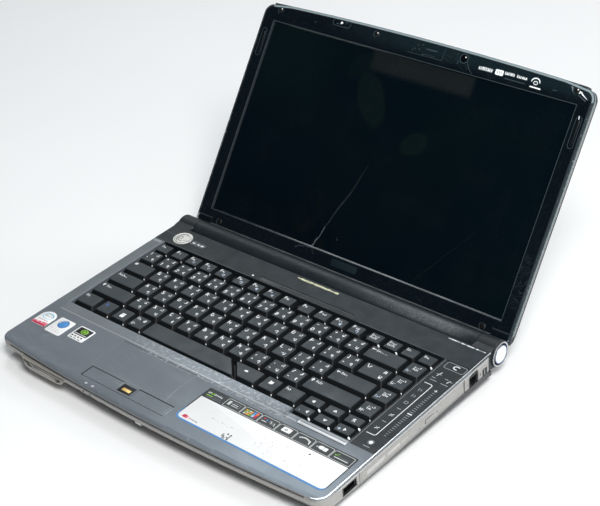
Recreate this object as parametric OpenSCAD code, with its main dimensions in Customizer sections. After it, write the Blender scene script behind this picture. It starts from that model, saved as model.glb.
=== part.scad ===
// Notebook computer, 14 inch class, opened out, with a cracked display.
// Everything on the deck is drawn in the deck's own axes (x to the right,
// y to the rear, z up from the top face of the deck); deck() then stands the
// wedge shaped base on its feet. The lid is drawn along its own height.

/* [Base] */
// Width of the base
body_w = 341; // [340:0.5:342]
// How far the middle of the front edge lies ahead of the deck origin
front_y = 142; // [141:0.5:144]
// Rear wall of the base
rear_y = 70.2; // [69.8:0.1:70.3]
// Radius of the bowed front edge
bow_r = 2000; // [1900:50:2400]
// Radius of the two front corners
corner_r = 11; // [9:0.5:13]
// Wall thickness of the plastic shells
wall = 1.8; // [1.5:0.1:1.8]
// Slope of the deck towards the user when it stands on its feet
tilt = 2.5; // [2.4:0.1:2.6]
// Height of the front edge of the deck above the table
front_h = 19.2; // [19.2:0.1:20]

/* [Lid] */
// Lean of the open lid from the upright
lean = 36.5; // [10:0.5:60]
// Height of the hinge axis above the deck (below when negative)
axis_z = -8.5; // [-8.6:0.1:-8.4]
// Distance of the hinge axis behind the deck origin
axis_y = 82.5; // [82.4:0.1:82.8]
// Outer radius of the hinge barrel
barrel_r = 11.2; // [11.1:0.1:11.3]
// Thickness of the lid
lid_t = 7.9; // [7.8:0.1:8.4]
// Top edge of the lid above the hinge axis
lid_top = 220.5; // [220:0.5:221]
// Width of the picture opening
view_w = 310.5; // [309:0.5:312]
// Lower edge of the picture opening above the hinge axis
view_lo = 24.9; // [24.5:0.1:26]
// Upper edge of the picture opening above the hinge axis
view_hi = 200; // [199:0.5:201]

/* [Keyboard] */
// Distance between two letter keys
pitch = 18.92; // [18.9:0.01:18.95]
// Height of the key tops above the deck
key_top = 1.3; // [1:0.1:1.3]

/* [Hidden] */
$fn = 48;

oy = -38.27;                       // puts the middle of the opened machine on y = 0
oz = front_y * sin(tilt) + front_h * cos(tilt);
hw = body_w / 2;
xk = -157.9;                    // left edge of the key field
rows = [-67.0, -48.08, -29.16, -10.24, 8.68, 27.6];   // front edge of each key row
pin_r = 2.5;
cover_y = 44.9;                 // front edge of the hinge cover
cap_x = 152.5;                  // inner face of the hinge caps
end_x = 171.6;                  // outer face of the hinge caps
bez = 9.5;                      // face of the screen surround, out from the hinge axis
back = bez + lid_t;             // outer face of the lid
fan = [-136, 43];               // axis of the fan
function sag(x, r) = r - sqrt(r * r - x * x);
screw_at = [[-150, -112], [-60, -122], [70, -122], [150, -112], [-154, -38], [24, -60], [100, 60], [60, 60], [145, 40]];
feet_at = [[-135, -118], [135, -118], [-128, 56], [128, 56]];

module deck() { translate([0, oy, oz]) rotate([tilt, 0, 0]) children(); }
// table axes, for the underside: z = 0 is the table
module table() { translate([0, oy, 0]) children(); }
// lid axes: y out of the back of the lid, z up along it, both from the hinge axis
module lid() { deck() translate([0, axis_y, axis_z]) rotate([-lean, 0, 0]) children(); }
// turns a (y, z) section into a bar from x0 to x1
module along_x(x0, x1) { translate([x0, 0, 0]) rotate([90, 0, 90]) linear_extrude(x1 - x0) children(); }
// turns an (x, z) outline into a slab from y0 to y1
module slab_y(y0, y1) { translate([0, y1, 0]) rotate([90, 0, 0]) linear_extrude(y1 - y0) children(); }
module box(x0, x1, y0, y1, z0, z1) { translate([x0, y0, z0]) cube([x1 - x0, y1 - y0, z1 - z0]); }
module disc_x(x0, x1, y, z, r) { translate([x0, y, z]) rotate([0, 90, 0]) cylinder(r = r, h = x1 - x0); }
module disc_z(x, y, z0, z1, r) { translate([x, y, z0]) cylinder(r = r, h = z1 - z0); }
// flat plate with round corners
module pad(x0, x1, y0, y1, z0, z1, r) {
  translate([0, 0, z0]) linear_extrude(z1 - z0) union() {
    translate([x0 + r, y0]) square([x1 - x0 - 2 * r, y1 - y0]);
    translate([x0, y0 + r]) square([x1 - x0, y1 - y0 - 2 * r]);
    for (x = [x0 + r, x1 - r], y = [y0 + r, y1 - r]) translate([x, y]) circle(r = r, $fn = 24);
  }
}
// plan of the base, pulled in by i
module plan(i) {
  yc = -front_y + 17.5;
  translate([-hw + i, yc]) square([2 * (hw - i), rear_y - i - yc]);
  translate([-hw + corner_r, -front_y]) square([2 * (hw - corner_r), 40]);
  for (s = [-1, 1]) translate([s * (hw - corner_r), yc]) circle(r = corner_r - i);
}
// bowed front: round upper edge, undercut below
module bow(i) {
  r = bow_r - i;
  translate([0, bow_r - front_y, 0]) union() {
    rotate_extrude($fn = 900) polygon([[0, -i], [bow_r - 5, -i], [bow_r - 5, -5], [r, -5], [r - 0.8, -7],
      [r - 3.6, -11], [r - 8.5, -15.5], [r - 13, -22], [r - 14, -40], [0, -40]]);
    rotate_extrude($fn = 900) translate([bow_r - 5, -5]) intersection() { circle(r = 5 - i); translate([-3, 0]) square([9, 6]); }
  }
}
// underside: flat belly with sloped flanks, in table axes
module belly(i) {
  slab_y(-150, 120) polygon([
    [-hw + i, 60], [-hw + i, 7.6 + i], [-hw + 12.5 + i / 2, 2 + i],
    [hw - 12.5 - i / 2, 2 + i], [hw - i, 7.6 + i], [hw - i, 60]]);
}
// solid with a bottom outline b at z0 and a top outline t at z1
module prism(b, t, z0, z1) {
  n = len(b);
  polyhedron([for (p = b) [p[0], p[1], z0], for (p = t) [p[0], p[1], z1]],
    [[for (k = [0 : n - 1]) k], [for (k = [n - 1 : -1 : 0]) n + k],
     for (k = [0 : n - 1]) [k, n + k, n + (k + 1) % n, (k + 1) % n]]);
}
// keycap on the rectangle x0..x1, y0..y1: the top is smaller and set back
module cap(x0, x1, y0, y1, f = 3.6) {
  prism([[x0, y0], [x1, y0], [x1, y1], [x0, y1]],
        [[x0 + 2, y0 + f], [x1 - 2, y0 + f], [x1 - 2, y1 - 0.6], [x0 + 2, y1 - 0.6]], -3, key_top);
}
// key from unit u0 to unit u1 in row r
module key(r, u0, u1) { cap(xk + u0 * pitch + 0.46, xk + u1 * pitch - 0.46, rows[r] + 0.4, rows[r] + pitch - 0.46); }
module keys(r, u0, n) { for (k = [0 : n - 1]) key(r, u0 + k, u0 + k + 1); }
KEY = [0.17, 0.18, 0.19];

// ---------------------------------------------------------------- base shells
module bottom_case() {
  color([0.66, 0.66, 0.65]) difference() {
    intersection() {
      deck() translate([0, 0, -40]) linear_extrude(38.8) plan(0);
      deck() bow(0);
      table() belly(0);
    }
    intersection() {
      deck() translate([0, 0, -39]) linear_extrude(42) plan(wall);
      deck() union() { bow(wall); translate([0, bow_r - front_y, -5]) cylinder(r = bow_r - 3.6, h = 9, $fn = 900); }
      table() belly(wall);
    }
    deck() {
      box(165, 175, -90.6, 33.7, -13.6, -5);                // disc drive
      box(165, 175, -111.2, -96.4, -11.6, -5);              // right USB
      box(165, 175, 40.9, 51.9, -15.2, -6);                 // modem
      box(165, 175, 58.8, 61.2, -14.4, -9.6);               // lock slot
      box(-175, -165, -23.8, -10.2, -12.4, -6.2);           // left USB
      box(-175, -165, -45.2, -28.8, -15.6, -6.2);           // network
      box(-175, -165, -8.8, 7.6, -10.8, -5.1);              // video
      disc_x(-175, -165, 60, -9, 3.5);                      // power inlet
      for (y = [22 : 4 : 50]) box(-175, -165, y, y + 2.2, -16, -6);    // fan outlet
      box(-122, -94.5, -146, -125, -11.2, -7.6);            // card slot
      for (x = [-70, -56, -42]) translate([x, -120, -8.6]) rotate([90, 0, 0]) cylinder(r = 2.75, h = 30);
      box(-12.2, 4.2, -146, -128, -10.4, -7.6);             // switch window
      for (s = [-1, 1]) box(min(s * 152.2, s * 180), max(s * 152.2, s * 180), 66.5, 80, -17.1, 1);   // seats of the hinge caps
    }
    table() {
      box(-108.4, 31.4, 20.6, 66.4, -1, 5);                 // battery bay
      box(-40.3, 25.3, -36.3, 14.3, -1, 5);                 // memory bay
      for (k = [0 : 8]) box(-152 + 3.8 * k, -150 + 3.8 * k, 26, 52, -1, 5);   // fan inlet
      box(-118, -111, 30, 40, -1, 5);                       // battery lock window
      box(35, 42, 30, 40, -1, 5);                           // battery release window
      for (p = screw_at) disc_z(p[0], p[1], -1, 9, 1.35);
    }
  }
}
// 1.2 mm rim over the full plan, thicker inside it
module top_plate() {
  intersection() {
    union() {
      translate([0, 0, -1.2]) linear_extrude(1.2) plan(0);
      translate([0, 0, -1.8]) linear_extrude(0.8) intersection() { plan(wall + 0.3); translate([0, bow_r - front_y]) circle(r = bow_r - 3.9, $fn = 900); }
    }
    bow(0);
  }
}
module palm_rest() {
  color([0.42, 0.45, 0.48]) deck() {
    difference() {
      union() {
        intersection() { top_plate(); box(-200, 200, -150, cover_y - 0.2, -5, 1); }
        box(-159.4, 146.4, -73.8, -66, -5.1, -1.5);         // walls of the key well
        box(-159.4, -157, -67.4, cover_y - 0.2, -5.1, -1.5);
        box(144, 146.4, -67.4, cover_y - 0.2, -5.1, -1.5);
      }
      box(-158.2, 145.2, -67.3, 50, -6, 1);
      box(87.8, 145.2, -72.7, -66, -6, 1);
      box(-158.2, 86.6, -75, -68.5, -6, -1.8);
      box(147, 169.4, -74.2, 50, -1, 1);                    // seat of the media panel
      box(-80.2, 0.2, -116.2, -79.8, -3, 1);                // touchpad
      box(-76.4, -40.3, -130.5, -117.8, -3, 1);             // left click button
      box(-23.7, 13.7, -130.5, -117.8, -3, 1);              // right click button
      box(-39, -25, -128.4, -119.2, -3, 1);                 // fingerprint reader
    }
  }
}
module hinge_cover() {
  color([0.15, 0.17, 0.18]) deck() {
    difference() {
      union() {
        intersection() { top_plate(); box(-200, 200, cover_y, 80, -5, 1); }
        box(-157.8, 144.8, cover_y, cover_y + 1.2, -5.1, -1.5);
        box(-152, 152, rear_y - 3.4, rear_y - 2.2, -5.1, -1.5);
      }
      disc_z(-148, 57.3, -3, 1, 9.3);
      for (s = [-1, 1]) box(min(s * 152.2, s * 180), max(s * 152.2, s * 180), 66.5, 80, -3, -1.25);
      difference() {                                        // groove round the front tab
        translate([0, 0, -0.5]) linear_extrude(1) polygon([[-53.5, 44], [-49.5, 51.6], [51, 51.6], [58.5, 44]]);
        translate([0, 0, -2]) linear_extrude(4) polygon([[-51.5, 44], [-48.3, 50.4], [50.3, 50.4], [56.6, 44]]);
      }
    }
  }
}
module media_panel() { color([0.12, 0.13, 0.14]) deck() pad(147.2, 169.2, -74, cover_y - 0.4, -1, -0.05, 0.8); }
module keyboard_plate() {
  color([0.08, 0.08, 0.09]) deck() {
    box(-157.9, 144.9, -67, 44.6, -6, -5.3);
    box(88.2, 144.9, -72.3, -67, -6, -5.3);
  }
}
// ---------------------------------------------------------------- keys
fx = [-148.5, -130.1, -113.1, -95.7, -78.4, -58, -40.6, -23.2, -5.8, 14.3, 31.7, 49.1, 66.5, 85.6, 103.0, 119.8, 136.4];
module function_row_keys() { color(KEY) deck() for (x = fx) cap(x - 8.1, x + 8.1, 28.1, 40.9, 1.9); }
module number_row_keys() { color(KEY) deck() { keys(4, 0, 13); key(4, 13, 15); key(4, 15, 16); } }
module upper_letter_keys() { color(KEY) deck() { key(3, 0, 1.5); keys(3, 1.5, 12); key(3, 13.5, 15); key(3, 15, 16); } }
module home_letter_keys() { color(KEY) deck() { key(2, 0, 1.75); keys(2, 1.75, 11); key(2, 15, 16); } }
module enter_key() { color(KEY) deck() key(2, 12.75, 15); }
module lower_letter_keys() { color(KEY) deck() { key(1, 0, 2.25); keys(1, 2.25, 10); key(1, 12.25, 15); key(1, 15, 16); } }
module bottom_row_keys() {
  color(KEY) deck() {
    key(0, 0, 1.25); keys(0, 1.25, 3);
    prism([[28.6, -66.6], [45.8, -66.6], [45.8, -48.54], [11.8, -48.54]],
          [[27.2, -63], [43.8, -63], [43.8, -49.14], [14.4, -49.14]], -3, key_top);
    cap(46.7, 64.7, -66.6, -48.54);
    cap(65.6, 87.2, -66.6, -48.54);
  }
}
module space_key() {
  color(KEY) deck() prism(
    [[-76.9, -66.6], [27.5, -66.6], [10.7, -48.54], [-76.9, -48.54]],
    [[-75.2, -65.2], [24.4, -65.2], [8.8, -49.14], [-75.2, -49.14]], -3, key_top);
}
module arrow_keys() {
  color(KEY) deck() for (u = [13, 14, 15]) {
    x = xk + u * pitch;
    cap(x + 0.46, x + pitch - 0.46, -60, -48.54, 2.4);
    cap(x + 0.46, x + pitch - 0.46, -72, -60.6, 2.4);
  }
}
// ---------------------------------------------------------------- deck controls
module touchpad() { color([0.42, 0.45, 0.48]) deck() { box(-80, 0, -116, -80, -2, -0.2); box(-76, -4, -112, -84, -3.4, -2); } }
module left_click_button() { color([0.42, 0.45, 0.48]) deck() pad(-76.1, -40.6, -130.2, -118.1, -2.2, -0.1, 0.6); }
module right_click_button() { color([0.42, 0.45, 0.48]) deck() pad(-23.4, 13.4, -130.2, -118.1, -2.2, -0.1, 0.6); }
module fingerprint_reader() {
  color([0.1, 0.1, 0.1]) deck() { pad(-38.8, -25.2, -128.2, -119.4, -2.6, -0.5, 0.6); box(-36.6, -27.4, -126.6, -123.6, -0.5, -0.25); }
}
module deck_labels() {
  color([0.9, 0.9, 0.88]) deck() {
    pad(-166, -150, -105, -86, 0.02, 0.17, 3);
    pad(-147.5, -130, -107, -86.5, 0.02, 0.17, 1.5);
    pad(-124.5, -107, -102.5, -85.6, 0.02, 0.17, 1.5);
    pad(20, 164.4, -125.2, -84.5, 0.02, 0.17, 5);
  }
}
module launch_button() {
  color([0.82, 0.82, 0.8]) deck() { disc_z(-148, 57.3, -2.6, 0.5, 9); disc_z(-148, 57.3, -3.6, -2.6, 5); }
}
// ---------------------------------------------------------------- hinges
module hinge_cap(inner, outer) {
  difference() {
    union() {
      disc_x(cap_x, outer, axis_y, axis_z, barrel_r);
      along_x(cap_x, outer) polygon([[66.8, -16.9], [66.8, -1.3], [rear_y + 0.1, -1.3], [rear_y + 0.1, 0], [76, 0.6],
        [axis_y, axis_z], [78, -18], [70.2, -16.9]]);
    }
    disc_x(inner, outer + (outer < end_x ? 1 : -1.8), axis_y, axis_z, barrel_r - 1.8);
    disc_x(cap_x - 1, inner + 1, axis_y, axis_z, pin_r);
  }
}
module hinge_cap_left() { color([0.15, 0.17, 0.18]) deck() mirror([1, 0, 0]) hinge_cap(cap_x + 2.5, end_x); }
module hinge_cap_right() { color([0.15, 0.17, 0.18]) deck() hinge_cap(cap_x + 2.5, 169.5); }
module power_button_ring() {
  color([0.8, 0.81, 0.82]) deck() difference() {
    union() {
      disc_x(169.6, 171.2, axis_y, axis_z, barrel_r - 0.2);
      disc_x(167.2, 169.6, axis_y, axis_z, barrel_r - 1.9);
    }
    disc_x(160, 180, axis_y, axis_z, 8.1);
  }
}
module power_button() {
  color([0.95, 0.97, 1]) deck() { disc_x(167.4, end_x, axis_y, axis_z, 7.7); disc_x(164.4, 167.4, axis_y, axis_z, 4); }
}
module hinge_pins() {
  color("silver") deck() for (m = [0, 1]) mirror([m, 0, 0]) {
    disc_x(138.6, 160, axis_y, axis_z, pin_r);
    disc_x(155.2, 157.4, axis_y, axis_z, 8.6);
  }
}
module hinge_arms() {
  color("silver") lid() for (m = [0, 1]) mirror([m, 0, 0]) {
    difference() {
      union() {
        disc_x(139.5, 150.5, 0, 0, 5);
        along_x(139.5, 150.5) polygon([[1.5, 4], [6.8, 6.6], [9.9, 9.5], [11.4, 11.2], [11.4, 17.9], [13.4, 17.9], [13.4, 14], [10.5, 7], [4.5, 1.5]]);
        box(139.5, 166.2, 11.4, 13.4, 16.4, 17.9);
        box(162, 166.2, 11.4, 13.4, 16.4, 78);
      }
      disc_x(130, 160, 0, 0, pin_r + 0.05);
      for (z = [30, 50, 70]) translate([164.1, 10, z]) rotate([-90, 0, 0]) cylinder(r = 1.3, h = 5);
    }
  }
}
// ---------------------------------------------------------------- inside the base
module main_board() {
  color([0.1, 0.32, 0.2]) deck() difference() {
    union() {
      box(-153, 30, -36, 17, -12.4, -11);
      box(-153, -112, 17, 19, -12.4, -11);
      box(-130, -100, -20, 10, -11, -9.6);                  // chip set
    }
    for (x = [-148, 20]) disc_z(x, -32, -20, 0, 1.6);
  }
}
module fan_housing() {
  color([0.2, 0.2, 0.22]) deck() difference() {
    pad(fan[0] - 24, fan[0] + 24, fan[1] - 22, fan[1] + 21, -17.5, -7.2, 6);
    translate([0, 0, 0]) disc_z(fan[0], fan[1], -16.5, -8.2, 20.4);
    disc_z(fan[0], fan[1], -20, -10, 14);
    box(fan[0] - 30, fan[0] - 10, fan[1] - 17, fan[1] + 15, -16.5, -8.2);
  }
}
module fan_rotor() {
  color([0.12, 0.12, 0.13]) deck() {
    disc_z(fan[0], fan[1], -16, -8.8, 8.5);
    for (a = [0 : 24 : 359]) translate([fan[0], fan[1], -15.6]) rotate([0, 0, a]) translate([8, -0.5, 0]) cube([11.6, 1, 6.4]);
  }
}
module heat_sink() {
  color([0.75, 0.45, 0.3]) deck() {
    difference() {
      box(-167.4, -161, 22, 55, -16.4, -7.4);
      for (y = [23 : 2 : 53]) box(-170, -160, y, y + 1.2, -15.6, -8.2);
    }
    box(-165, -160, 12, 22, -9.4, -7.4);
    box(-165, -100.5, 12, 18, -9.4, -7.4);
    box(-129, -101, -19, 12.5, -9.4, -8.2);
  }
}
module hard_drive() {
  color([0.7, 0.71, 0.72]) deck() { box(-148, -48, -110, -40.2, -15.4, -6.6); box(-48, -44, -105, -60, -14.6, -8); }
}
module optical_drive() {
  color([0.72, 0.73, 0.74]) deck() difference() {
    box(34, 160, -90.4, 33.4, -15, -6.4);
    box(35, 170, -89.4, 32.4, -14.2, -7.2);
  }
}
module disc_tray() {
  color([0.6, 0.6, 0.59]) deck() difference() {
    union() {
      box(37, 168.4, -88.8, 31.8, -13.2, -9.4);
      pad_x(168.4, 170.4, -90.3, 33.4, -13.3, -5.3);
    }
    disc_z(98, -28.5, -11.4, 0, 58);
    disc_z(98, -28.5, -20, 0, 9);
    box(166.5, 175, -15.3, -4.7, -11.4, -8.6);              // eject button
    disc_x(160, 175, -0.3, -10.2, 0.7);                     // emergency hole
  }
}
module pad_x(x0, x1, y0, y1, z0, z1) { box(x0, x1, y0, y1, z0, z1); }
module eject_button() { color([0.6, 0.6, 0.59]) deck() { box(168.6, 170.8, -15, -5, -11.1, -8.9); box(167.6, 168.6, -12, -8, -10.8, -9.2); } }
module battery_pack() {
  color([0.14, 0.14, 0.15]) table() pad(-108, 31, 21, 66, 2.1, 19.8, 2);
}
module battery_lock() { color([0.14, 0.14, 0.15]) table() { pad(-117, -112, 31, 35, 2.2, 6.4, 0.8); box(-119, -110, 29.5, 36.6, 3.9, 5.4); } }
module battery_release() { color([0.14, 0.14, 0.15]) table() { pad(36, 41, 31, 35, 2.2, 6.4, 0.8); box(34, 43, 29.5, 36.6, 3.9, 5.4); } }
module memory_modules() {
  color([0.1, 0.32, 0.2]) table() for (z = [6.2, 8.4]) box(-38, 23, -30 + (z - 6) * 2, 0 + (z - 6) * 2, z, z + 1.4);
}
module memory_door() { color([0.24, 0.25, 0.26]) table() { pad(-40, 25, -36, 14, 2.1, 3.7, 1.5); box(-20, 0, 14, 17, 3.9, 4.9); box(-20, 0, 12.5, 14, 3.7, 4.9); } }
module wireless_card() { color([0.1, 0.32, 0.2]) table() box(-90, -60, -30, 21 - 31, 6.5, 8.5); }
module speakers() {
  color([0.12, 0.12, 0.12]) deck() for (x = [-122, 112]) { box(x - 16, x + 16, 50, 64, -6.6, -2); disc_z(x, 57, -6.9, -6.6, 6); }
}
// ---------------------------------------------------------------- sockets
// USB socket: metal can with a tongue, open towards -x before turning
module usb(y, z) {
  difference() { box(0, 14, y - 6.6, y + 6.6, z - 2.9, z + 2.9); box(-1, 13, y - 6, y + 6, z - 2.3, z + 2.3); }
  box(3, 13.5, y - 5.5, y + 5.5, z + 0.1, z + 1.7);
}
module usb_ports() {
  color([0.75, 0.75, 0.76]) deck() {
    translate([170, -103.8, -8.3]) rotate([0, 0, 180]) usb(0, 0);
    translate([-170, -17, -9.3]) usb(0, 0);
  }
}
module modem_jack() {
  color([0.12, 0.12, 0.13]) deck() difference() { box(154, 170, 41.2, 51.6, -14.9, -6.3); box(157, 171, 42.4, 50.4, -13.8, -7.5); box(157, 171, 44.4, 48.4, -14.4, -13.8); }
}
module network_port() {
  color([0.12, 0.12, 0.13]) deck() difference() { box(-170, -153, -45, -29, -15.4, -6.4); box(-171, -156, -43.6, -30.4, -14.4, -7.8); box(-171, -156, -40, -34, -7.9, -6.9); }
}
module video_port() {
  color([0.2, 0.3, 0.6]) deck() { difference() { box(-170, -160, -8.6, 7.4, -10.6, -5.3); box(-171, -161, -7.4, 6.2, -9.8, -6.1); } box(-168.4, -161, -5.4, 4.2, -8.4, -7.3); }
}
module power_inlet() {
  color([0.12, 0.12, 0.13]) deck() { difference() { disc_x(-170, -160.3, 60, -9, 3.3); disc_x(-171, -161.5, 60, -9, 2.6); } disc_x(-168.6, -161, 60, -9, 0.8); }
}
module audio_jacks() {
  color([0.12, 0.12, 0.13]) deck() for (x = [-70, -56, -42]) translate([x, -124, -8.6]) rotate([90, 0, 0])
    difference() { cylinder(r = 2.65, h = 13.5); translate([0, 0, 2]) cylinder(r = 1.8, h = 20); }
}
module card_reader() {
  color([0.12, 0.12, 0.13]) deck() difference() { box(-121.8, -94.7, -137.2, -112, -11, -7.8); box(-120.6, -95.9, -140, -116, -10.4, -8.4); }
}
module wireless_switch() { color([0.7, 0.7, 0.7]) deck() { box(-7.5, -1, -140.4, -135.9, -9.9, -8.1); box(-10, 1.5, -135.9, -134.4, -10.8, -7.6); } }
// ---------------------------------------------------------------- underside
module rubber_feet() { color([0.1, 0.1, 0.1]) table() for (p = feet_at) disc_z(p[0], p[1], 0, 1.95, 7); }
module case_screws() {
  color([0.5, 0.5, 0.52]) table() for (p = screw_at) { disc_z(p[0], p[1], 2.0, 7, 1.25); disc_z(p[0], p[1], 1.3, 2, 2.4); }
}
// ---------------------------------------------------------------- lid
lid_r = 3850;
module lid_plan(i, low) {
  intersection() {
    union() {
      translate([-170 + i, low]) square([2 * (170 - i), lid_top - 14 - low]);
      translate([-161, low]) square([322, lid_top + 5 - low]);
      for (s = [-1, 1]) translate([s * 161, lid_top - 14]) circle(r = 9 - i);
      translate([-161, lid_top - 14]) square([322, 14]);
    }
    translate([0, lid_top - lid_r]) circle(r = lid_r - i, $fn = 1800);
  }
}
module lid_cover() {
  color([0.5, 0.53, 0.58]) lid() difference() {
    intersection() {
      slab_y(bez + 0.1, back) lid_plan(0, 14.7);
      translate([0, 0, 0]) linear_extrude(300) polygon([[-170, 5], [-170, back - 4], [-168.8, back - 2], [-165, back],
        [165, back], [168.8, back - 2], [170, back - 4], [170, 5]]);
      along_x(-180, 180) polygon([[5, 0], [5, 240], [back - 4, lid_top + 1], [back - 2, lid_top - 1.2], [back, lid_top - 6], [back, 17.7], [back - 1, 14.7], [back - 1, 0]]);
    }
    slab_y(0, back - 1.5) lid_plan(1.5, 16.2);
    box(-151.7, 151.7, 0, back - 1.5, 10, 17);
  }
}
module screen_bezel() {
  color([0.05, 0.05, 0.06]) lid() difference() {
    union() {
      slab_y(bez, bez + 1.5) lid_plan(1.6, 16.4);
      box(-151.5, 151.5, bez, bez + 1.5, 11.7, 17);
    }
    rotate([90, 0, 0]) prism(
      [[-view_w / 2, view_lo], [view_w / 2, view_lo], [view_w / 2, view_hi], [-view_w / 2, view_hi]],
      [for (p = [[-1, 0], [1, 0], [1, 1], [-1, 1]]) [p[0] * (view_w / 2 + 3), p[1] == 0 ? view_lo - 3 : view_hi + 3]], -bez - 2, -bez + 1.5);
    translate([46.3, 0, 213]) rotate([-90, 0, 0]) cylinder(r = 2.7, h = 20);
    translate([0.3, 0, 211.4]) rotate([-90, 0, 0]) cylinder(r = 0.6, h = 20);
  }
}
module lcd_panel() {
  color([0.03, 0.03, 0.035]) lid() box(-160, 160, bez + 1.6, back - 1.7, 18.2, 206.6);
}
module barrel_cover() {
  color([0.16, 0.17, 0.18]) lid() difference() {
    union() {
      disc_x(-151.9, 151.9, 0, 0, barrel_r);
      along_x(-151.9, 151.9) polygon([[0, 0], [7.1, 8.5], [7.3, 9.4], [8.4, 10.7], [9.4, 11.4], [bez + 1.6, 11.4], [bez + 1.6, 14.5], [back - 1, 14.5], [11.1, 1]]);
    }
    disc_x(-160, 160, 0, 0, barrel_r - 1.6);
    along_x(-160, 160) polygon([[0, 0], [8.8, 8.8], [10.6, 11.35], [bez + 1.5, 11.35], [bez + 1.5, 20], [back - 2.6, 20], [back - 2.6, 14.5], [9.4, 1]]);
  }
}
module webcam() {
  color([0.08, 0.08, 0.09]) lid() { box(34, 58, bez + 3.4, bez + 5.4, 208, 216.6); translate([46.3, bez + 0.3, 213]) rotate([-90, 0, 0]) cylinder(r = 2.4, h = 3.2); }
}
module screw_covers() {
  color([0.1, 0.1, 0.1]) lid() for (p = [[-152.2, 212.3], [-44.4, 213.8], [153.1, 212.0], [-142.8, 14.6], [143.1, 14.4]])
    translate([p[0], bez - 0.45, p[1]]) rotate([-90, 0, 0]) cylinder(r = 2.5, h = 0.43);
}
module bumper_pads() {
  color([0.1, 0.1, 0.1]) lid() for (x = [-163, 163]) slab_y(bez - 0.55, bez - 0.02) union() {
    translate([x - 1.3, 170]) square([2.6, 21]);
    for (z = [170, 191]) translate([x, z]) circle(r = 1.3);
  }
}
module inverter_board() { color([0.1, 0.32, 0.2]) lid() { box(-60, 60, 11.3, 12.5, 12.4, 17.6); } }
module display_cable() {
  color([0.12, 0.12, 0.12]) lid() {
    along_x(-112, -98) polygon([[-1.5, 6], [7.5, 6], [12.6, 12.5], [12.6, 17.9], [13.4, 17.9], [13.4, 12.2], [8, 5.2], [-1.5, 5.2]]);
    disc_x(-151, -98, -1.8, 6.9, 1.6);
  }
}
bottom_case();
palm_rest();
hinge_cover();
media_panel();
keyboard_plate();
function_row_keys();
number_row_keys();
upper_letter_keys();
home_letter_keys();
lower_letter_keys();
bottom_row_keys();
space_key();
enter_key();
arrow_keys();
touchpad();
left_click_button();
right_click_button();
fingerprint_reader();
deck_labels();
launch_button();
hinge_cap_left();
hinge_cap_right();
power_button_ring();
power_button();
hinge_pins();
main_board();
fan_housing();
fan_rotor();
heat_sink();
hard_drive();
optical_drive();
disc_tray();
eject_button();
battery_pack();
battery_lock();
battery_release();
memory_modules();
memory_door();
wireless_card();
speakers();
usb_ports();
modem_jack();
video_port();
network_port();
power_inlet();
audio_jacks();
card_reader();
wireless_switch();
rubber_feet();
case_screws();
lid_cover();
screen_bezel();
lcd_panel();
barrel_cover();
hinge_arms();
webcam();
screw_covers();
bumper_pads();
inverter_board();
display_cable();
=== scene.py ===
import math
import random

import bmesh
import bpy
from mathutils import Matrix, Vector


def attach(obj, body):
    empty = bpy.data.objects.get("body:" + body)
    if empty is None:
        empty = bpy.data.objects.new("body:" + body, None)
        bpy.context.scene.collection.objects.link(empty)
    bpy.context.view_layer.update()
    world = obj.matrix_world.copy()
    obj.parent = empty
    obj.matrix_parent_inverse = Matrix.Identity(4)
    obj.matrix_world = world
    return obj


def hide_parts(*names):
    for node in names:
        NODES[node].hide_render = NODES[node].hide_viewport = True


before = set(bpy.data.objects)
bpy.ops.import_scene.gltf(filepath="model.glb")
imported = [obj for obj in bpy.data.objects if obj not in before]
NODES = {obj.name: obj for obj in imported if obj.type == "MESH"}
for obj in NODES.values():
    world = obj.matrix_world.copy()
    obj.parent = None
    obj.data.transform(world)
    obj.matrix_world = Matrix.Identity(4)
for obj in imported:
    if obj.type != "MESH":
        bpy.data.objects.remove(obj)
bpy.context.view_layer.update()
MM = 0.001
rnd = random.Random(7)

# ------------------------------------------------------------------ the deck's and the lid's own axes, in mm
TILT = math.radians(2.5)
CA, SA = math.cos(TILT), math.sin(TILT)
OY = -38.27
OZ = 142 * SA + 19.2 * CA
LEAN = math.radians(36.5)
CL, SL = math.cos(LEAN), math.sin(LEAN)


def turn(v):
    return Vector((v[0], v[1] * CA - v[2] * SA, v[1] * SA + v[2] * CA))


def deck(x, y, z):
    p = turn((x, y, z))
    return Vector((p.x, p.y + OY, p.z + OZ)) * MM


def lid(x, d, l):
    return deck(x, 82.5 + l * SL + d * CL, -8.5 + l * CL - d * SL)


def lid_face(d0):
    """u to the right, v up the lid, w out of its face, from depth d0."""
    return lambda u, v, w: lid(u, d0 - w, v)


def side_right(x0):
    return lambda u, v, w: deck(x0 + w, u, v)


def side_left(x0):
    return lambda u, v, w: deck(x0 - w, -u, v)


def under(z0):
    """u to the right, v to the front, w down, below the table height z0."""
    return lambda u, v, w: Vector((u, OY - v, z0 - w)) * MM


def front_at(y0):
    return lambda u, v, w: deck(u, y0 - w, v)


# ------------------------------------------------------------------ materials
def lin(c):
    out = []
    for k in c[:3]:
        k = k / 255.0
        out.append(k / 12.92 if k <= 0.04045 else ((k + 0.055) / 1.055) ** 2.4)
    return (*out, 1.0)


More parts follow.
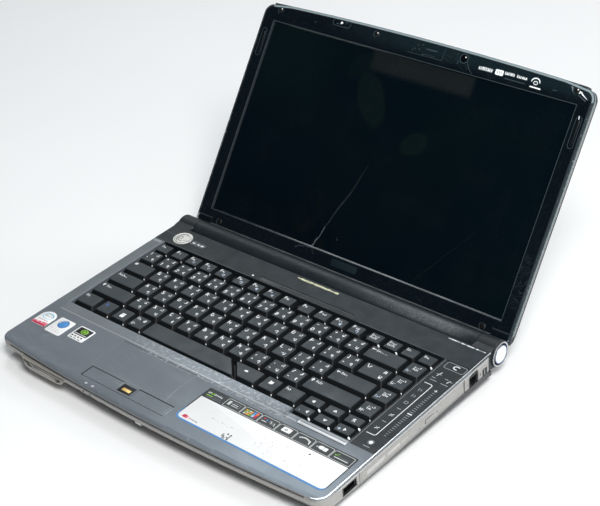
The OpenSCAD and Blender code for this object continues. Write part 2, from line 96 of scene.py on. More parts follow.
class Mat:
    """A small layer over one material's nodes. Coordinates are millimetres, in the deck's or the lid's axes."""

    def __init__(self, name, axes="deck"):
        self.m = bpy.data.materials.new(name)
        self.m.use_nodes = True
        self.t = self.m.node_tree
        self.b = next(n for n in self.t.nodes if n.type == "BSDF_PRINCIPLED")
        co = self.t.nodes.new("ShaderNodeTexCoord").outputs["Object"]
        mp = self.t.nodes.new("ShaderNodeMapping")
        self.t.links.new(co, mp.inputs["Vector"])
        turned = -TILT if axes == "deck" else LEAN - TILT
        mp.inputs["Scale"].default_value = (1000, 1000, 1000)
        mp.inputs["Rotation"].default_value = (turned, 0, 0)
        o = Vector((0, OY, OZ))
        if axes == "lid":
            o = deck(0, 82.5, -8.5) * 1000
        mp.inputs["Location"].default_value = -(Matrix.Rotation(turned, 3, "X") @ o)
        self.co = mp.outputs["Vector"]
        self._xyz = None

    def node(self, kind, **kw):
        n = self.t.nodes.new(kind)
        for k, v in kw.items():
            setattr(n, k, v)
        return n

    def put(self, socket, v):
        if isinstance(v, bpy.types.NodeSocket):
            self.t.links.new(v, socket)
        else:
            socket.default_value = v

    def scaled(self, s, rot=(0, 0, 0), loc=(0, 0, 0)):
        mp = self.node("ShaderNodeMapping")
        self.t.links.new(self.co, mp.inputs["Vector"])
        mp.inputs["Scale"].default_value = s
        mp.inputs["Rotation"].default_value = rot
        mp.inputs["Location"].default_value = loc
        return mp.outputs["Vector"]

    def noise(self, scale, detail=2.0, rough=0.5, co=None, distort=0.0):
        n = self.node("ShaderNodeTexNoise")
        self.t.links.new(co or self.co, n.inputs["Vector"])
        n.inputs["Scale"].default_value = scale
        n.inputs["Detail"].default_value = detail
        n.inputs["Roughness"].default_value = rough
        n.inputs["Distortion"].default_value = distort
        return n.outputs[0]

    def cells(self, scale, co=None, feature="F1", out="Distance"):
        n = self.node("ShaderNodeTexVoronoi", feature=feature)
        self.t.links.new(co or self.co, n.inputs["Vector"])
        n.inputs["Scale"].default_value = scale
        return n.outputs[out]

    def math(self, op, a, b=0.0, clamp=False):
        n = self.node("ShaderNodeMath", operation=op, use_clamp=clamp)
        self.put(n.inputs[0], a)
        self.put(n.inputs[1], b)
        return n.outputs[0]

    def mul(self, *a):
        out = a[0]
        for k in a[1:]:
            out = self.math("MULTIPLY", out, k)
        return out

    def most(self, *a):
        out = a[0]
        for k in a[1:]:
            out = self.math("MAXIMUM", out, k)
        return out

    def step(self, v, a, b, lo=0.0, hi=1.0):
        """0 below a, 1 above b, smooth between (reversed when a > b)."""
        n = self.node("ShaderNodeMapRange", interpolation_type="SMOOTHSTEP")
        self.put(n.inputs["Value"], v)
        if a <= b:
            n.inputs["From Min"].default_value = a
            n.inputs["From Max"].default_value = b
            n.inputs["To Min"].default_value = lo
            n.inputs["To Max"].default_value = hi
        else:
            n.inputs["From Min"].default_value = b
            n.inputs["From Max"].default_value = a
            n.inputs["To Min"].default_value = hi
            n.inputs["To Max"].default_value = lo
        return n.outputs["Result"]

    def xyz(self):
        if self._xyz is None:
            s = self.node("ShaderNodeSeparateXYZ")
            self.t.links.new(self.co, s.inputs[0])
            self._xyz = s.outputs
        return self._xyz

    def band(self, k, a, b, soft=1.0):
        """1 between a and b along axis k."""
        v = self.xyz()[k]
        return self.mul(self.step(v, a - soft, a + soft), self.step(v, b + soft, b - soft))

    def field(self, x0, x1, y0, y1, soft=1.0, k=1):
        return self.mul(self.band(0, x0, x1, soft), self.band(k, y0, y1, soft))

    def blend(self, fac, a, b):
        n = self.node("ShaderNodeMix", data_type="RGBA")
        self.put(n.inputs[0], fac)
        self.put(n.inputs[6], a)
        self.put(n.inputs[7], b)
        return n.outputs[2]

    def edge(self):
        """The share of this spot that lies on a rounded edge."""
        n = self.node("ShaderNodeAttribute", attribute_name="edge")
        return n.outputs["Fac"]

    def streaks(self, angle, length=60.0, width=0.9, rare=0.66, seed=0.0, plane="xy"):
        """Long thin scratches along one direction."""
        rot = (0, 0, angle) if plane == "xy" else (0, angle, 0)
        pre = self.scaled((1, 1, 1), rot, (seed, seed * 0.7, seed * 1.3))
        mp = self.node("ShaderNodeMapping")
        self.t.links.new(pre, mp.inputs["Vector"])
        mp.inputs["Scale"].default_value = (1 / length, 1 / width, 0.02) if plane == "xy" else (1 / length, 0.02, 1 / width)
        n = self.noise(1.0, 1.0, 0.4, mp.outputs["Vector"])
        return self.step(n, rare, rare + 0.03)

    def bump(self, h, strength=0.3, distance=0.05, after=None):
        n = self.node("ShaderNodeBump")
        n.inputs["Strength"].default_value = strength
        n.inputs["Distance"].default_value = distance * MM
        self.put(n.inputs["Height"], h)
        if after is not None:
            self.t.links.new(after, n.inputs["Normal"])
        return n.outputs["Normal"]

    def done(self, color, rough, normal=None, metallic=0.0, ior=1.45, coat=0.0, coat_rough=0.1, spec=0.5, **extra):
        b = self.b.inputs
        self.put(b["Base Color"], color)
        self.put(b["Roughness"], rough)
        b["Metallic"].default_value = metallic
        b["IOR"].default_value = ior
        b["Coat Weight"].default_value = coat
        b["Coat Roughness"].default_value = coat_rough
        b["Specular IOR Level"].default_value = spec
        if normal is not None:
            self.put(b["Normal"], normal)
        for k, v in extra.items():
            self.put(b[k.replace("_", " ")], v)
        self.m.diffuse_color = (0.5, 0.5, 0.5, 1)
        return self.m


def moulded(name, base, rough=0.5, grain=2.2, depth=0.03, vary=0.10, worn=None, wear=0.5, axes="deck", spec=0.5,
            coat=0.0, dust=0.0, metallic=0.0):
    """Moulded or painted plastic: fine grain, patchy tone and roughness, edges rubbed to another colour."""
    s = Mat(name, axes)
    c = lin(base)
    dark = tuple(k * (1 - vary) for k in c[:3]) + (1,)
    light = tuple(min(1, k * (1 + vary)) for k in c[:3]) + (1,)
    patch = s.noise(0.035, 4, 0.6)
    fine = s.noise(grain, 3, 0.6)
    col = s.blend(patch, dark, light)
    col = s.blend(s.mul(s.step(fine, 0.35, 0.75), 0.25), col, light)
    if dust:
        d = s.mul(s.step(s.noise(0.6, 4, 0.7), 0.55, 0.8), s.step(s.noise(0.05, 2, 0.5), 0.4, 0.65), dust)
        col = s.blend(d, col, lin((150, 148, 142)))
    if worn is not None:
        rub = s.mul(s.edge(), s.step(s.noise(0.22, 4, 0.65), 0.36, 0.62), wear)
        col = s.blend(rub, col, lin(worn))
    r = s.step(s.noise(0.12, 3, 0.6), 0.2, 0.8, max(0.05, rough - 0.08), min(1, rough + 0.08))
    return s.done(col, r, s.bump(fine, 0.5, depth), metallic=metallic, spec=spec, coat=coat)


def metal(name, base, rough=0.3, brushed=True, axes="deck"):
    s = Mat(name, axes)
    c = lin(base)
    streak = s.noise(1.0, 3, 0.6, s.scaled((0.08, 3.0, 3.0)) if brushed else s.scaled((0.8, 0.8, 0.8)))
    col = s.blend(streak, tuple(k * 0.78 for k in c[:3]) + (1,), c)
    spot = s.step(s.noise(0.4, 4, 0.7), 0.62, 0.75, 0, 0.5)
    col = s.blend(spot, col, tuple(k * 0.6 for k in c[:3]) + (1,))
    r = s.step(streak, 0.2, 0.8, rough - 0.06, rough + 0.12)
    return s.done(col, r, s.bump(streak, 0.25, 0.02), metallic=1.0)


def ink(name, base, rough=0.5, chip=0.25, axes="deck", painted_glow=0.0):
    """Print: a field of one colour, slightly uneven and thinned in places; the last argument makes it glow a little, as
    painted brightness.
    """
    s = Mat(name, axes)
    c = lin(base)
    worn = s.mul(s.step(s.noise(1.4, 4, 0.7), 0.5, 0.72), chip)
    col = s.blend(worn, c, tuple(k * 0.55 for k in c[:3]) + (1,))
    grain = s.noise(5.0, 2, 0.5)
    extra = {}
    # painted light: emission makes the print brighter than its lighting
    if painted_glow:
        extra = {"Emission_Color": c, "Emission_Strength": painted_glow}
    return s.done(col, s.step(grain, 0.3, 0.7, rough - 0.06, rough + 0.06), s.bump(grain, 0.15, 0.01), **extra)


def deck_plastic():
    """Slate grey satin paint over plastic, rubbed pale along the ridge before the keys and at its edges, with painted
    highlights along the ridge's crest and towards the front right.
    """
    s = Mat("deck_plastic_mat")
    base, light, pale = lin((96, 103, 110)), lin((110, 117, 124)), lin((190, 196, 201))
    fleck = s.noise(6.0, 2, 0.5)
    fine = s.noise(3.0, 3, 0.6)
    col = s.blend(s.noise(0.03, 4, 0.6), base, light)
    col = s.blend(s.mul(s.step(fleck, 0.62, 0.8), 0.35), col, pale)
    # hand polish: long soft smears
    smear = s.step(s.noise(1.0, 4, 0.65, s.scaled((0.012, 0.05, 0.05), (0, 0, 0.2))), 0.45, 0.75)
    col = s.blend(s.mul(smear, 0.07), col, pale)
    # mottled wear on the ridge, most of it right of the middle
    ridge = s.mul(s.field(-60, 92, -81, -75.5, 1.6), s.step(s.noise(0.42, 5, 0.75), 0.47, 0.62))
    col = s.blend(s.mul(ridge, 0.75), col, pale)
    # painted highlight: a pale line along the ridge's crest, broken up by noise
    crest_highlight = s.mul(s.field(-159, 100, -78.6, -77.4, 0.5), s.step(s.noise(0.11, 3, 0.6), 0.3, 0.55))
    col = s.blend(s.mul(crest_highlight, 0.6), col, pale)
    # scratches in three directions, where hands rest
    scr = s.most(s.streaks(0.35, 40, 0.35, 0.70, 3.0), s.streaks(-0.6, 30, 0.3, 0.71, 11.0), s.streaks(1.3, 24, 0.3, 0.72, 19.0))
    scr = s.mul(scr, s.step(s.noise(0.02, 2, 0.5), 0.42, 0.6))
    col = s.blend(s.mul(scr, 0.2), col, pale)
    rub = s.mul(s.edge(), s.step(s.noise(0.3, 4, 0.7), 0.42, 0.6), 0.6)
    col = s.blend(rub, col, pale)
    dirt = s.mul(s.step(s.noise(0.8, 5, 0.7), 0.6, 0.74), s.step(s.noise(0.04, 2, 0.5), 0.5, 0.66), 0.35)
    col = s.blend(dirt, col, lin((58, 58, 56)))
    r = s.step(s.noise(0.05, 4, 0.6), 0.25, 0.75, 0.33, 0.46)
    r = s.math("SUBTRACT", r, s.mul(smear, 0.06))
    n = s.bump(fine, 0.4, 0.02)
    n = s.bump(s.noise(0.02, 2, 0.5), 0.12, 0.6, n)
    # painted highlight: lighter towards the front right, where the rounded front edge catches the light
    front = s.mul(s.step(s.xyz()[0], -30, 150), s.step(s.xyz()[1], -60, -135))
    col = s.blend(s.mul(front, 0.45), col, lin((158, 172, 184)))
    return s.done(col, r, n, metallic=0.05, spec=0.3)


def case_plastic():
    """Silver-beige paint of the lower shell, with handling marks along the flanks."""
    s = Mat("case_plastic_mat")
    base, light, grime = lin((158, 156, 152)), lin((176, 175, 172)), lin((104, 98, 88))
    fine = s.noise(3.0, 3, 0.6)
    col = s.blend(s.noise(0.03, 4, 0.6), base, light)
    col = s.blend(s.mul(s.step(s.noise(6.0, 2, 0.5), 0.6, 0.8), 0.3), col, lin((205, 206, 208)))
    d = s.mul(s.step(s.noise(0.5, 5, 0.72), 0.54, 0.74), s.step(s.noise(0.03, 3, 0.6), 0.42, 0.62), 0.55)
    col = s.blend(d, col, grime)
    scr = s.most(s.streaks(0.1, 26, 0.3, 0.70, 5.0), s.streaks(-0.9, 22, 0.3, 0.72, 15.0))
    col = s.blend(s.mul(scr, 0.4), col, lin((218, 218, 216)))
    rub = s.mul(s.edge(), s.step(s.noise(0.3, 4, 0.7), 0.4, 0.6), 0.7)
    col = s.blend(rub, col, lin((214, 215, 216)))
    # the front wall starts as the deck's grey; below that, a beige-brown band and a dark band on the front are painted
    # shade where the wall turns under
    x, y, z = s.xyz()
    front = s.step(y, -131, -139)
    col = s.blend(s.mul(front, s.step(z, -4.6, -2.4), 0.75), col, lin((120, 124, 127)))
    col = s.blend(s.mul(front, s.step(z, -4.4, -6.4), s.step(z, -9.5, -7.5), 0.7), col, lin((132, 122, 106)))
    # painted shade: everything low on the shell, from about z -13.6 down, is darkened
    low = s.most(s.step(z, -15.4, -13.6), 0.0)
    col = s.blend(s.mul(front, s.step(z, -7.2, -9.2)), col, lin((70, 68, 64)))
    col = s.blend(s.math("SUBTRACT", 1.0, low), col, lin((74, 75, 77)))
    r = s.step(s.noise(0.08, 4, 0.6), 0.25, 0.75, 0.36, 0.5)
    return s.done(col, r, s.bump(fine, 0.4, 0.025), metallic=0.2)


def dark_textured(name, axes="deck", base=(22, 31, 36), rough=0.5, scratch=0.16, grain=1.1, depth=0.05, painted_light=None, spec=0.5):
    """Near-black spark-eroded plastic with pale rubs and fine scratches, and where given, painted light: a lighter tone
    towards +x.
    """
    s = Mat(name, axes)
    c = lin(base)
    g = s.cells(grain)
    fine = s.noise(grain * 1.6, 3, 0.7)
    col = s.blend(s.noise(0.04, 4, 0.6), tuple(k * 0.86 for k in c[:3]) + (1,), tuple(k * 1.2 for k in c[:3]) + (1,))
    if painted_light:                                                   # painted light, no real film: a lighter tone towards +x, where more light falls from the right
        a, b, tone, k = painted_light[:4]
        film = s.mul(s.step(s.xyz()[0], a, b), s.step(s.noise(1.1, 4, 0.75), 0.25, 0.7, 0.55, 1.0), k)
        if len(painted_light) > 4:                                      # painted highlight: only in a band along the upper front of the barrel
            along = s.math("ADD", s.mul(s.xyz()[1], -0.88 / 11.1), s.mul(s.xyz()[2], 0.47 / 11.1))
            film = s.mul(film, s.step(s.xyz()[0], a, b), s.step(along, 0.84, 1.0), s.step(s.xyz()[0], 150, 122), s.step(s.noise(0.7, 3, 0.8), 0.36, 0.64, 0.45, 1.0))
        col = s.blend(film, col, lin(tone))
    dust = s.mul(s.step(s.noise(1.6, 4, 0.75), 0.56, 0.78), s.step(s.noise(0.045, 3, 0.5), 0.4, 0.62), 0.22)
    col = s.blend(dust, col, lin((120, 122, 122)))
    p = "xy" if axes == "deck" else "xz"
    scr = s.most(s.streaks(0.15, 36, 0.3, 0.7, 2.0, p), s.streaks(-0.8, 22, 0.3, 0.715, 9.0, p))
    col = s.blend(s.mul(scr, scratch), col, lin((132, 136, 138)))
    rub = s.mul(s.edge(), s.step(s.noise(0.25, 4, 0.7), 0.42, 0.62), 0.5)
    col = s.blend(rub, col, lin((128, 133, 136)))
    r = s.step(s.noise(0.09, 4, 0.6), 0.25, 0.75, rough - 0.07, rough + 0.08)
    n = s.bump(g, 0.35, depth)
    n = s.bump(fine, 0.35, depth * 0.6, n)
    return s.done(col, r, n, spec=spec)


def key_top():
    s = Mat("key_top_mat")
    fine = s.noise(2.6, 3, 0.65)
    col = s.blend(s.noise(0.03, 3, 0.6), lin((38, 45, 49)), lin((50, 57, 62)))
    col = s.blend(s.mul(s.step(fine, 0.5, 0.8), 0.35), col, lin((84, 89, 95)))
    dust = s.mul(s.step(s.noise(1.2, 4, 0.75), 0.6, 0.8), s.step(s.noise(0.03, 2, 0.5), 0.45, 0.6), 0.3)
    col = s.blend(dust, col, lin((128, 128, 124)))
    r = s.step(s.noise(0.06, 3, 0.6), 0.3, 0.7, 0.36, 0.52)
    return s.done(col, r, s.bump(fine, 0.55, 0.035), spec=0.5)


def key_skirt():
    s = Mat("key_skirt_mat")
    fine = s.noise(2.0, 3, 0.6)
    col = s.blend(s.noise(0.05, 3, 0.6), lin((11, 14, 16)), lin((19, 23, 26)))
    dust = s.mul(s.step(s.noise(0.9, 4, 0.75), 0.62, 0.8), 0.3)
    col = s.blend(dust, col, lin((104, 103, 98)))
    return s.done(col, s.step(fine, 0.3, 0.7, 0.42, 0.55), s.bump(fine, 0.25, 0.02), spec=0.3)


def bezel_gloss():
    """Glossy black surround of the screen: swirls, dust and scratches, thick ones at the lower right."""
    s = Mat("bezel_gloss_mat", "lid")
    col = s.blend(s.noise(0.03, 3, 0.5), lin((5, 14, 20)), lin((9, 20, 27)))
    top = s.mul(s.step(s.xyz()[2], 203, 212), s.step(s.xyz()[0], -120, 10))
    col = s.blend(s.mul(top, 0.8), col, lin((22, 38, 44)))
    a = s.most(s.streaks(0.5, 16, 0.22, 0.70, 3.0, "xz"), s.streaks(-0.5, 20, 0.22, 0.71, 8.0, "xz"), s.streaks(1.35, 24, 0.25, 0.72, 14.0, "xz"))
    many = s.most(s.streaks(0.9, 9, 0.3, 0.64, 21.0, "xz"), s.streaks(0.2, 8, 0.3, 0.65, 27.0, "xz"))
    heavy = s.mul(s.most(s.field(156, 172, 36, 80, 6, 2), s.field(158, 172, 208, 221, 4, 2)), 0.5)
    scr = s.most(s.mul(a, 0.3), s.mul(many, heavy))
    col = s.blend(s.mul(scr, 0.3), col, lin((104, 120, 126)))
    dust = s.mul(s.step(s.cells(0.55), 0.16, 0.05), s.step(s.noise(0.05, 3, 0.6), 0.48, 0.6))
    col = s.blend(s.mul(dust, 0.25), col, lin((110, 120, 124)))
    # pale bevelled edges, round the opening too: partly rubs, partly a painted highlight on the chamfers
    rub = s.mul(s.edge(), s.step(s.noise(0.2, 4, 0.7), 0.42, 0.6))
    col = s.blend(s.mul(rub, 0.25), col, lin((90, 104, 110)))
    smear = s.step(s.noise(0.06, 5, 0.7), 0.35, 0.75, 0.07, 0.22)
    r = s.math("ADD", smear, s.mul(scr, 0.2), clamp=True)
    n = s.bump(s.noise(0.05, 2, 0.5), 0.08, 0.4)
    n = s.bump(scr, 0.25, 0.02, n)
    return s.done(col, r, n, spec=0.5, coat=0.3, coat_rough=0.04)


def screen_film():
    """The dead panel behind its film: near black, a breath of green and brown, dust and a few rubs, and a painted
    reflection as a lighter patch high in the middle.
    """
    s = Mat("screen_film_mat", "lid")
    x, _, z = s.xyz()
    col = s.blend(s.step(s.noise(0.008, 2, 0.5), 0.35, 0.65), lin((2, 13, 21)), lin((3, 16, 21)))
    warm = s.mul(s.step(x, -40, -140), s.step(z, 90, 190))
    col = s.blend(s.mul(warm, 0.55), col, lin((8, 24, 24)))
    # painted reflection: a soft lighter patch at the upper middle of the screen
    patch = s.mul(s.field(-42, 62, 184, 204, 3.5, 2), s.step(s.noise(0.02, 2, 0.5), 0.2, 0.5, 0.7, 1.0))
    col = s.blend(s.mul(patch, 0.85), col, lin((28, 34, 34)))
    def leaf(cx, cz, turn_, la, lb):
        """A soft-edged oval stain, its rim eaten into by noise."""
        dx, dz = s.math("SUBTRACT", x, cx), s.math("SUBTRACT", z, cz)
        c, n = math.cos(turn_), math.sin(turn_)
        u = s.math("ADD", s.mul(dx, c / la), s.mul(dz, n / la))
        v = s.math("ADD", s.mul(dx, -n / lb), s.mul(dz, c / lb))
        d = s.math("ADD", s.math("ADD", s.mul(u, u), s.mul(v, v)), s.mul(s.noise(0.05, 3, 0.6), 0.8))
        return s.step(d, 1.7, 1.15)
    stain = s.most(leaf(-30, 160, -0.95, 27, 12.5), leaf(26, 134, 0.5, 13, 9), s.mul(leaf(-52, 184, 1.0, 14, 8), 0.6))
    col = s.blend(s.mul(stain, 0.55), col, lin((14, 27, 25)))
    # bruising of the liquid crystal round the foot of the main crack
    bruise = s.mul(s.field(-66, -14, 18, 66, 14, 2), s.step(s.noise(0.07, 4, 0.7), 0.44, 0.6))
    col = s.blend(s.mul(bruise, 0.55), col, lin((14, 20, 20)))
    dust = s.mul(s.step(s.cells(0.3), 0.12, 0.04), s.step(s.noise(0.03, 3, 0.6), 0.46, 0.6))
    col = s.blend(s.mul(dust, 0.18), col, lin((80, 92, 94)))
    r = s.step(s.noise(0.03, 4, 0.65), 0.3, 0.7, 0.16, 0.3)
    fine = s.noise(4.0, 2, 0.5)
    return s.done(col, r, s.bump(fine, 0.06, 0.01), spec=0.3)


def lid_paint():
    """Blue-grey metallic paint of the lid: chips at the corners, rubs along the rim that also paint a highlight on its
    rounded edges.
    """
    s = Mat("lid_paint_mat", "lid")
    x, d, z = s.xyz()
    base, light = lin((34, 43, 48)), lin((48, 57, 62))
    fleck = s.noise(5.0, 2, 0.5)
    col = s.blend(s.noise(0.03, 4, 0.6), base, light)
    col = s.blend(s.mul(s.step(fleck, 0.58, 0.8), 0.3), col, lin((140, 150, 156)))
    scr = s.most(s.streaks(0.25, 40, 0.35, 0.70, 4.0, "xz"), s.streaks(-0.9, 26, 0.3, 0.71, 13.0, "xz"), s.streaks(1.2, 60, 0.4, 0.71, 23.0, "xz"))
    col = s.blend(s.mul(scr, 0.35), col, lin((150, 158, 164)))
    chip = s.mul(s.step(s.noise(0.5, 5, 0.75), 0.6, 0.66), s.most(s.step(x, 150, 168), s.step(z, 212, 219), s.step(x, -158, -168)))
    col = s.blend(s.mul(chip, 0.85), col, lin((222, 226, 230)))
    # pale rounded edges: rubbed paint and partly a painted highlight where the rim catches light
    rub = s.mul(s.edge(), s.step(s.noise(0.25, 4, 0.7), 0.4, 0.6))
    col = s.blend(s.mul(rub, 0.45), col, lin((184, 190, 196)))
    col = s.blend(s.mul(s.step(d, 12.6, 15.4), s.step(d, 17.3, 16.6), 0.85), col, lin((10, 13, 15)))
    r = s.step(s.noise(0.06, 4, 0.6), 0.25, 0.75, 0.4, 0.55)
    n = s.bump(s.noise(2.0, 3, 0.6), 0.3, 0.02)
    return s.done(col, r, n, metallic=0.1, coat=0.06, coat_rough=0.25, spec=0.35)


def paper(name, base=(247, 248, 248), axes="deck"):
    s = Mat(name, axes)
    fibre = s.noise(3.0, 4, 0.7)
    col = s.blend(s.noise(0.05, 4, 0.6), lin(base), tuple(k * 0.9 for k in lin(base)[:3]) + (1,))
    dirt = s.mul(s.step(s.noise(0.5, 5, 0.7), 0.56, 0.76), 0.25)
    col = s.blend(dirt, col, lin((176, 170, 156)))
    return s.done(col, s.step(fibre, 0.3, 0.7, 0.3, 0.42), s.bump(fibre, 0.2, 0.015), coat=0.25, coat_rough=0.25)


M = {}
M["deck_plastic"] = deck_plastic()
M["case_plastic"] = case_plastic()
# painted light: the hinge cover is made lighter towards the right
M["dark_plastic"] = dark_textured("dark_plastic_mat", painted_light=(-200, 170, (54, 63, 68), 0.35))
# painted highlight: a light band along the upper front of the barrel
M["barrel"] = dark_textured("barrel_mat", "lid", (27, 35, 40), 0.46, 0.14, 0.9, 0.11, (-40, 122, (122, 127, 130), 0.8, 1))
M["touch_strip"] = dark_textured("touch_strip_mat", "deck", (30, 36, 40), 0.5, 0.16, 1.6, 0.03)
M["key_top"] = key_top()
M["key_skirt"] = key_skirt()
M["black_plastic"] = moulded("black_plastic_mat", (26, 27, 29), 0.42, 2.0, 0.03, 0.15, (92, 94, 96), 0.5, dust=0.25)
M["socket_black"] = moulded("socket_black_mat", (14, 14, 15), 0.5, 2.0, 0.03, 0.15)
M["silver_plastic"] = moulded("silver_plastic_mat", (196, 199, 203), 0.28, 2.4, 0.01, 0.06, (232, 234, 236), 0.6, metallic=0.75)
M["steel"] = metal("steel_mat", (190, 191, 193), 0.3)
M["drive_metal"] = metal("drive_metal_mat", (176, 177, 178), 0.38)
M["copper_tone"] = metal("copper_mat", (196, 120, 84), 0.34)
M["board"] = moulded("board_mat", (24, 72, 46), 0.4, 1.2, 0.05, 0.2, (70, 120, 90), 0.5)
M["blue_plastic"] = moulded("blue_plastic_mat", (38, 62, 142), 0.4, 2.0, 0.02, 0.12, (96, 116, 180), 0.4)
M["dome_black"] = moulded("dome_black_mat", (8, 15, 20), 0.35, 2.0, 0.02, 0.15, (40, 50, 56), 0.4, axes="lid", spec=0.4)
M["rubber"] = moulded("rubber_mat", (30, 30, 31), 0.75, 1.6, 0.05, 0.12, (60, 60, 60), 0.5, dust=0.4)
M["lid_paint"] = lid_paint()
M["bezel_gloss"] = bezel_gloss()
M["screen_film"] = screen_film()
M["label_film"] = paper("label_film_mat")
M["legend"] = ink("legend_mat", (250, 251, 252), 0.5, 0.12)
M["legend_blue"] = ink("legend_blue_mat", (70, 120, 214), 0.5, 0.2)
M["print_grey"] = ink("print_grey_mat", (166, 172, 176), 0.5, 0.25)
M["print_white"] = ink("print_white_mat", (240, 242, 244), 0.5, 0.2)
# the lid's white print glows a little: painted brightness
M["lid_print"] = ink("lid_print_mat", (244, 247, 248), 0.45, 0.15, "lid", 0.25)
M["lid_print_dim"] = ink("lid_print_dim_mat", (62, 78, 84), 0.4, 0.3, "lid")
M["lid_line"] = ink("lid_line_mat", (68, 84, 89), 0.35, 0.3, "lid")
# the cracks glow faintly: painted brightness
M["crack"] = ink("crack_mat", (112, 122, 124), 0.35, 0.6, "lid", 0.02)
M["crack_mid"] = ink("crack_mid_mat", (58, 70, 73), 0.35, 0.6, "lid")
M["crack_faint"] = ink("crack_faint_mat", (11, 21, 25), 0.4, 0.5, "lid")
M["blank"] = ink("blank_mat", (28, 42, 47), 0.3, 0.3, "lid")
M["key_gap"] = dark_textured("key_gap_mat", "deck", (16, 20, 22), 0.45, 0.1, 1.2, 0.04)
M["dark_steel"] = metal("dark_steel_mat", (84, 88, 92), 0.35)
M["crack_dim"] = ink("crack_dim_mat", (34, 46, 48), 0.3, 0.5, "lid")
# pale rim lines, painted highlights on the lid's rounded edges
M["rim_pale"] = ink("rim_pale_mat", (150, 168, 173), 0.35, 0.2, "lid")
M["trim_bright"] = ink("trim_bright_mat", (228, 232, 234), 0.35, 0.1)
M["lens"] = ink("lens_mat", (6, 8, 12), 0.06, 0.1, "lid")
M["glint"] = ink("glint_mat", (250, 250, 250), 0.2, 0.05, "lid", 0.5)
# pale chips, and the same glowing pale paints glints where edges catch the light
M["chip_pale"] = ink("chip_pale_mat", (236, 238, 240), 0.3, 0.1, "deck", 0.2)


def lit_plastic():
    s = Mat("lit_plastic_mat")
    g = s.noise(1.2, 3, 0.6)
    col = s.blend(g, lin((226, 236, 246)), lin((250, 252, 255)))
    return s.done(col, s.step(g, 0.3, 0.7, 0.2, 0.3), s.bump(g, 0.1, 0.01), Emission_Color=lin((214, 232, 255)), Emission_Strength=0.35)


M["lit_plastic"] = lit_plastic()


M["barrel_cap"] = dark_textured("barrel_cap_mat", "deck", (34, 39, 42), 0.5, 0.2, 0.9, 0.07)
M["silver_trim"] = moulded("silver_trim_mat", (206, 210, 214), 0.25, 3.0, 0.015, 0.08, (240, 242, 244), 0.6, metallic=0.6)
M["ridge"] = None
M["gold"] = moulded("gold_mat", (232, 196, 120), 0.35, 3.0, 0.01, 0.08, (250, 226, 170), 0.6, metallic=0.35)
M["button_white"] = moulded("button_white_mat", (222, 222, 216), 0.28, 2.6, 0.012, 0.06, (248, 248, 246), 0.7, metallic=0.15, coat=0.2)
M["legend_ice"] = ink("legend_ice_mat", (196, 212, 232), 0.5, 0.1)
# dim pale lines, painted highlights on the lid's edges and the opening's chamfer
M["rim_dim"] = ink("rim_dim_mat", (66, 82, 87), 0.4, 0.3, "lid")
# the cream print glows a little: painted brightness
M["print_cream"] = ink("print_cream_mat", (222, 222, 190), 0.5, 0.2, "deck", 0.1)
M["seam_soft"] = ink("seam_soft_mat", (122, 130, 136), 0.45, 0.5)
M["trim_shadow"] = ink("trim_shadow_mat", (58, 62, 66), 0.5, 0.3)
M["trim_plate"] = moulded("trim_plate_mat", (162, 169, 173), 0.4, 2.0, 0.015, 0.15, (196, 202, 206), 0.5, metallic=0.1)
M["button_dark"] = moulded("button_dark_mat", (104, 106, 106), 0.4, 2.0, 0.02, 0.2, (160, 160, 160), 0.4)
M["button_blue"] = moulded("button_blue_mat", (120, 140, 196), 0.3, 2.0, 0.01, 0.1, (190, 200, 230), 0.4)
M["seam_deck"] = ink("seam_deck_mat", (150, 158, 163), 0.45, 0.5)
M["seam_pale"] = ink("seam_pale_mat", (98, 102, 104), 0.45, 0.4)
M["case_lip"] = moulded("case_lip_mat", (150, 146, 138), 0.4, 2.0, 0.02, 0.12, (214, 212, 206), 0.7, metallic=0.25)
M["case_rub"] = moulded("case_rub_mat", (196, 195, 192), 0.45, 2.0, 0.02, 0.1, (224, 224, 222), 0.6, metallic=0.2)


def ridge_plastic():
    """Rubbed satin silver of the strip before the keys, worn patchy right of the middle, with a painted highlight along
    its crest.
    """
    s = Mat("ridge_mat")
    base, light, pale = lin((113, 120, 126)), lin((128, 135, 141)), lin((196, 201, 205))
    fine = s.noise(3.0, 3, 0.6)
    col = s.blend(s.noise(0.05, 4, 0.6), base, light)
    col = s.blend(s.mul(s.step(s.noise(6.0, 2, 0.5), 0.6, 0.8), 0.3), col, pale)
    worn = s.mul(s.step(s.noise(0.32, 5, 0.78), 0.5, 0.62), s.most(s.step(s.xyz()[0], -86, -60), s.step(s.noise(0.06, 2, 0.5), 0.55, 0.7)))
    col = s.blend(s.mul(worn, 0.45), col, pale)
    dark = s.mul(s.step(s.noise(0.34, 5, 0.78, s.scaled((1, 1.6, 1), (0, 0, 0.4), (9, 3, 0))), 0.56, 0.66), s.step(s.xyz()[0], -80, -50))
    col = s.blend(s.mul(dark, 0.6), col, lin((72, 78, 83)))
    # painted highlight: a pale band along the strip's crest
    lip = s.band(1, -78.6, -77.3, 0.3)
    col = s.blend(s.mul(lip, 0.55), col, pale)
    r = s.step(s.noise(0.2, 4, 0.6), 0.25, 0.75, 0.3, 0.45)
    return s.done(col, r, s.bump(s.math("ADD", fine, s.mul(worn, 0.6)), 0.4, 0.03), metallic=0.3)


M["ridge"] = ridge_plastic()
M["margin"] = moulded("margin_mat", (104, 111, 114), 0.5, 1.0, 0.05, 0.3, (176, 182, 184), 0.6)


# ------------------------------------------------------------------ mesh making
def smooth_sharp(me, angle=32):
    """Smooth shading with hard edges above the angle."""
    me.polygons.foreach_set("use_smooth", [True] * len(me.polygons))
    bm = bmesh.new()
    bm.from_mesh(me)
    lim = math.radians(angle)
    for e in bm.edges:
        e.smooth = len(e.link_faces) == 2 and e.calc_face_angle(0) < lim
    bm.to_mesh(me)
    bm.free()


def weighted(o):
    w = o.modifiers.new("weighted", "WEIGHTED_NORMAL")
    w.keep_sharp = True
    w.weight = 80
    return o


def place(name, me, body, replaces=()):
    o = bpy.data.objects.new(name, me)
    bpy.context.scene.collection.objects.link(o)
    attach(o, body)
    if replaces:
        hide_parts(*replaces)
    return o


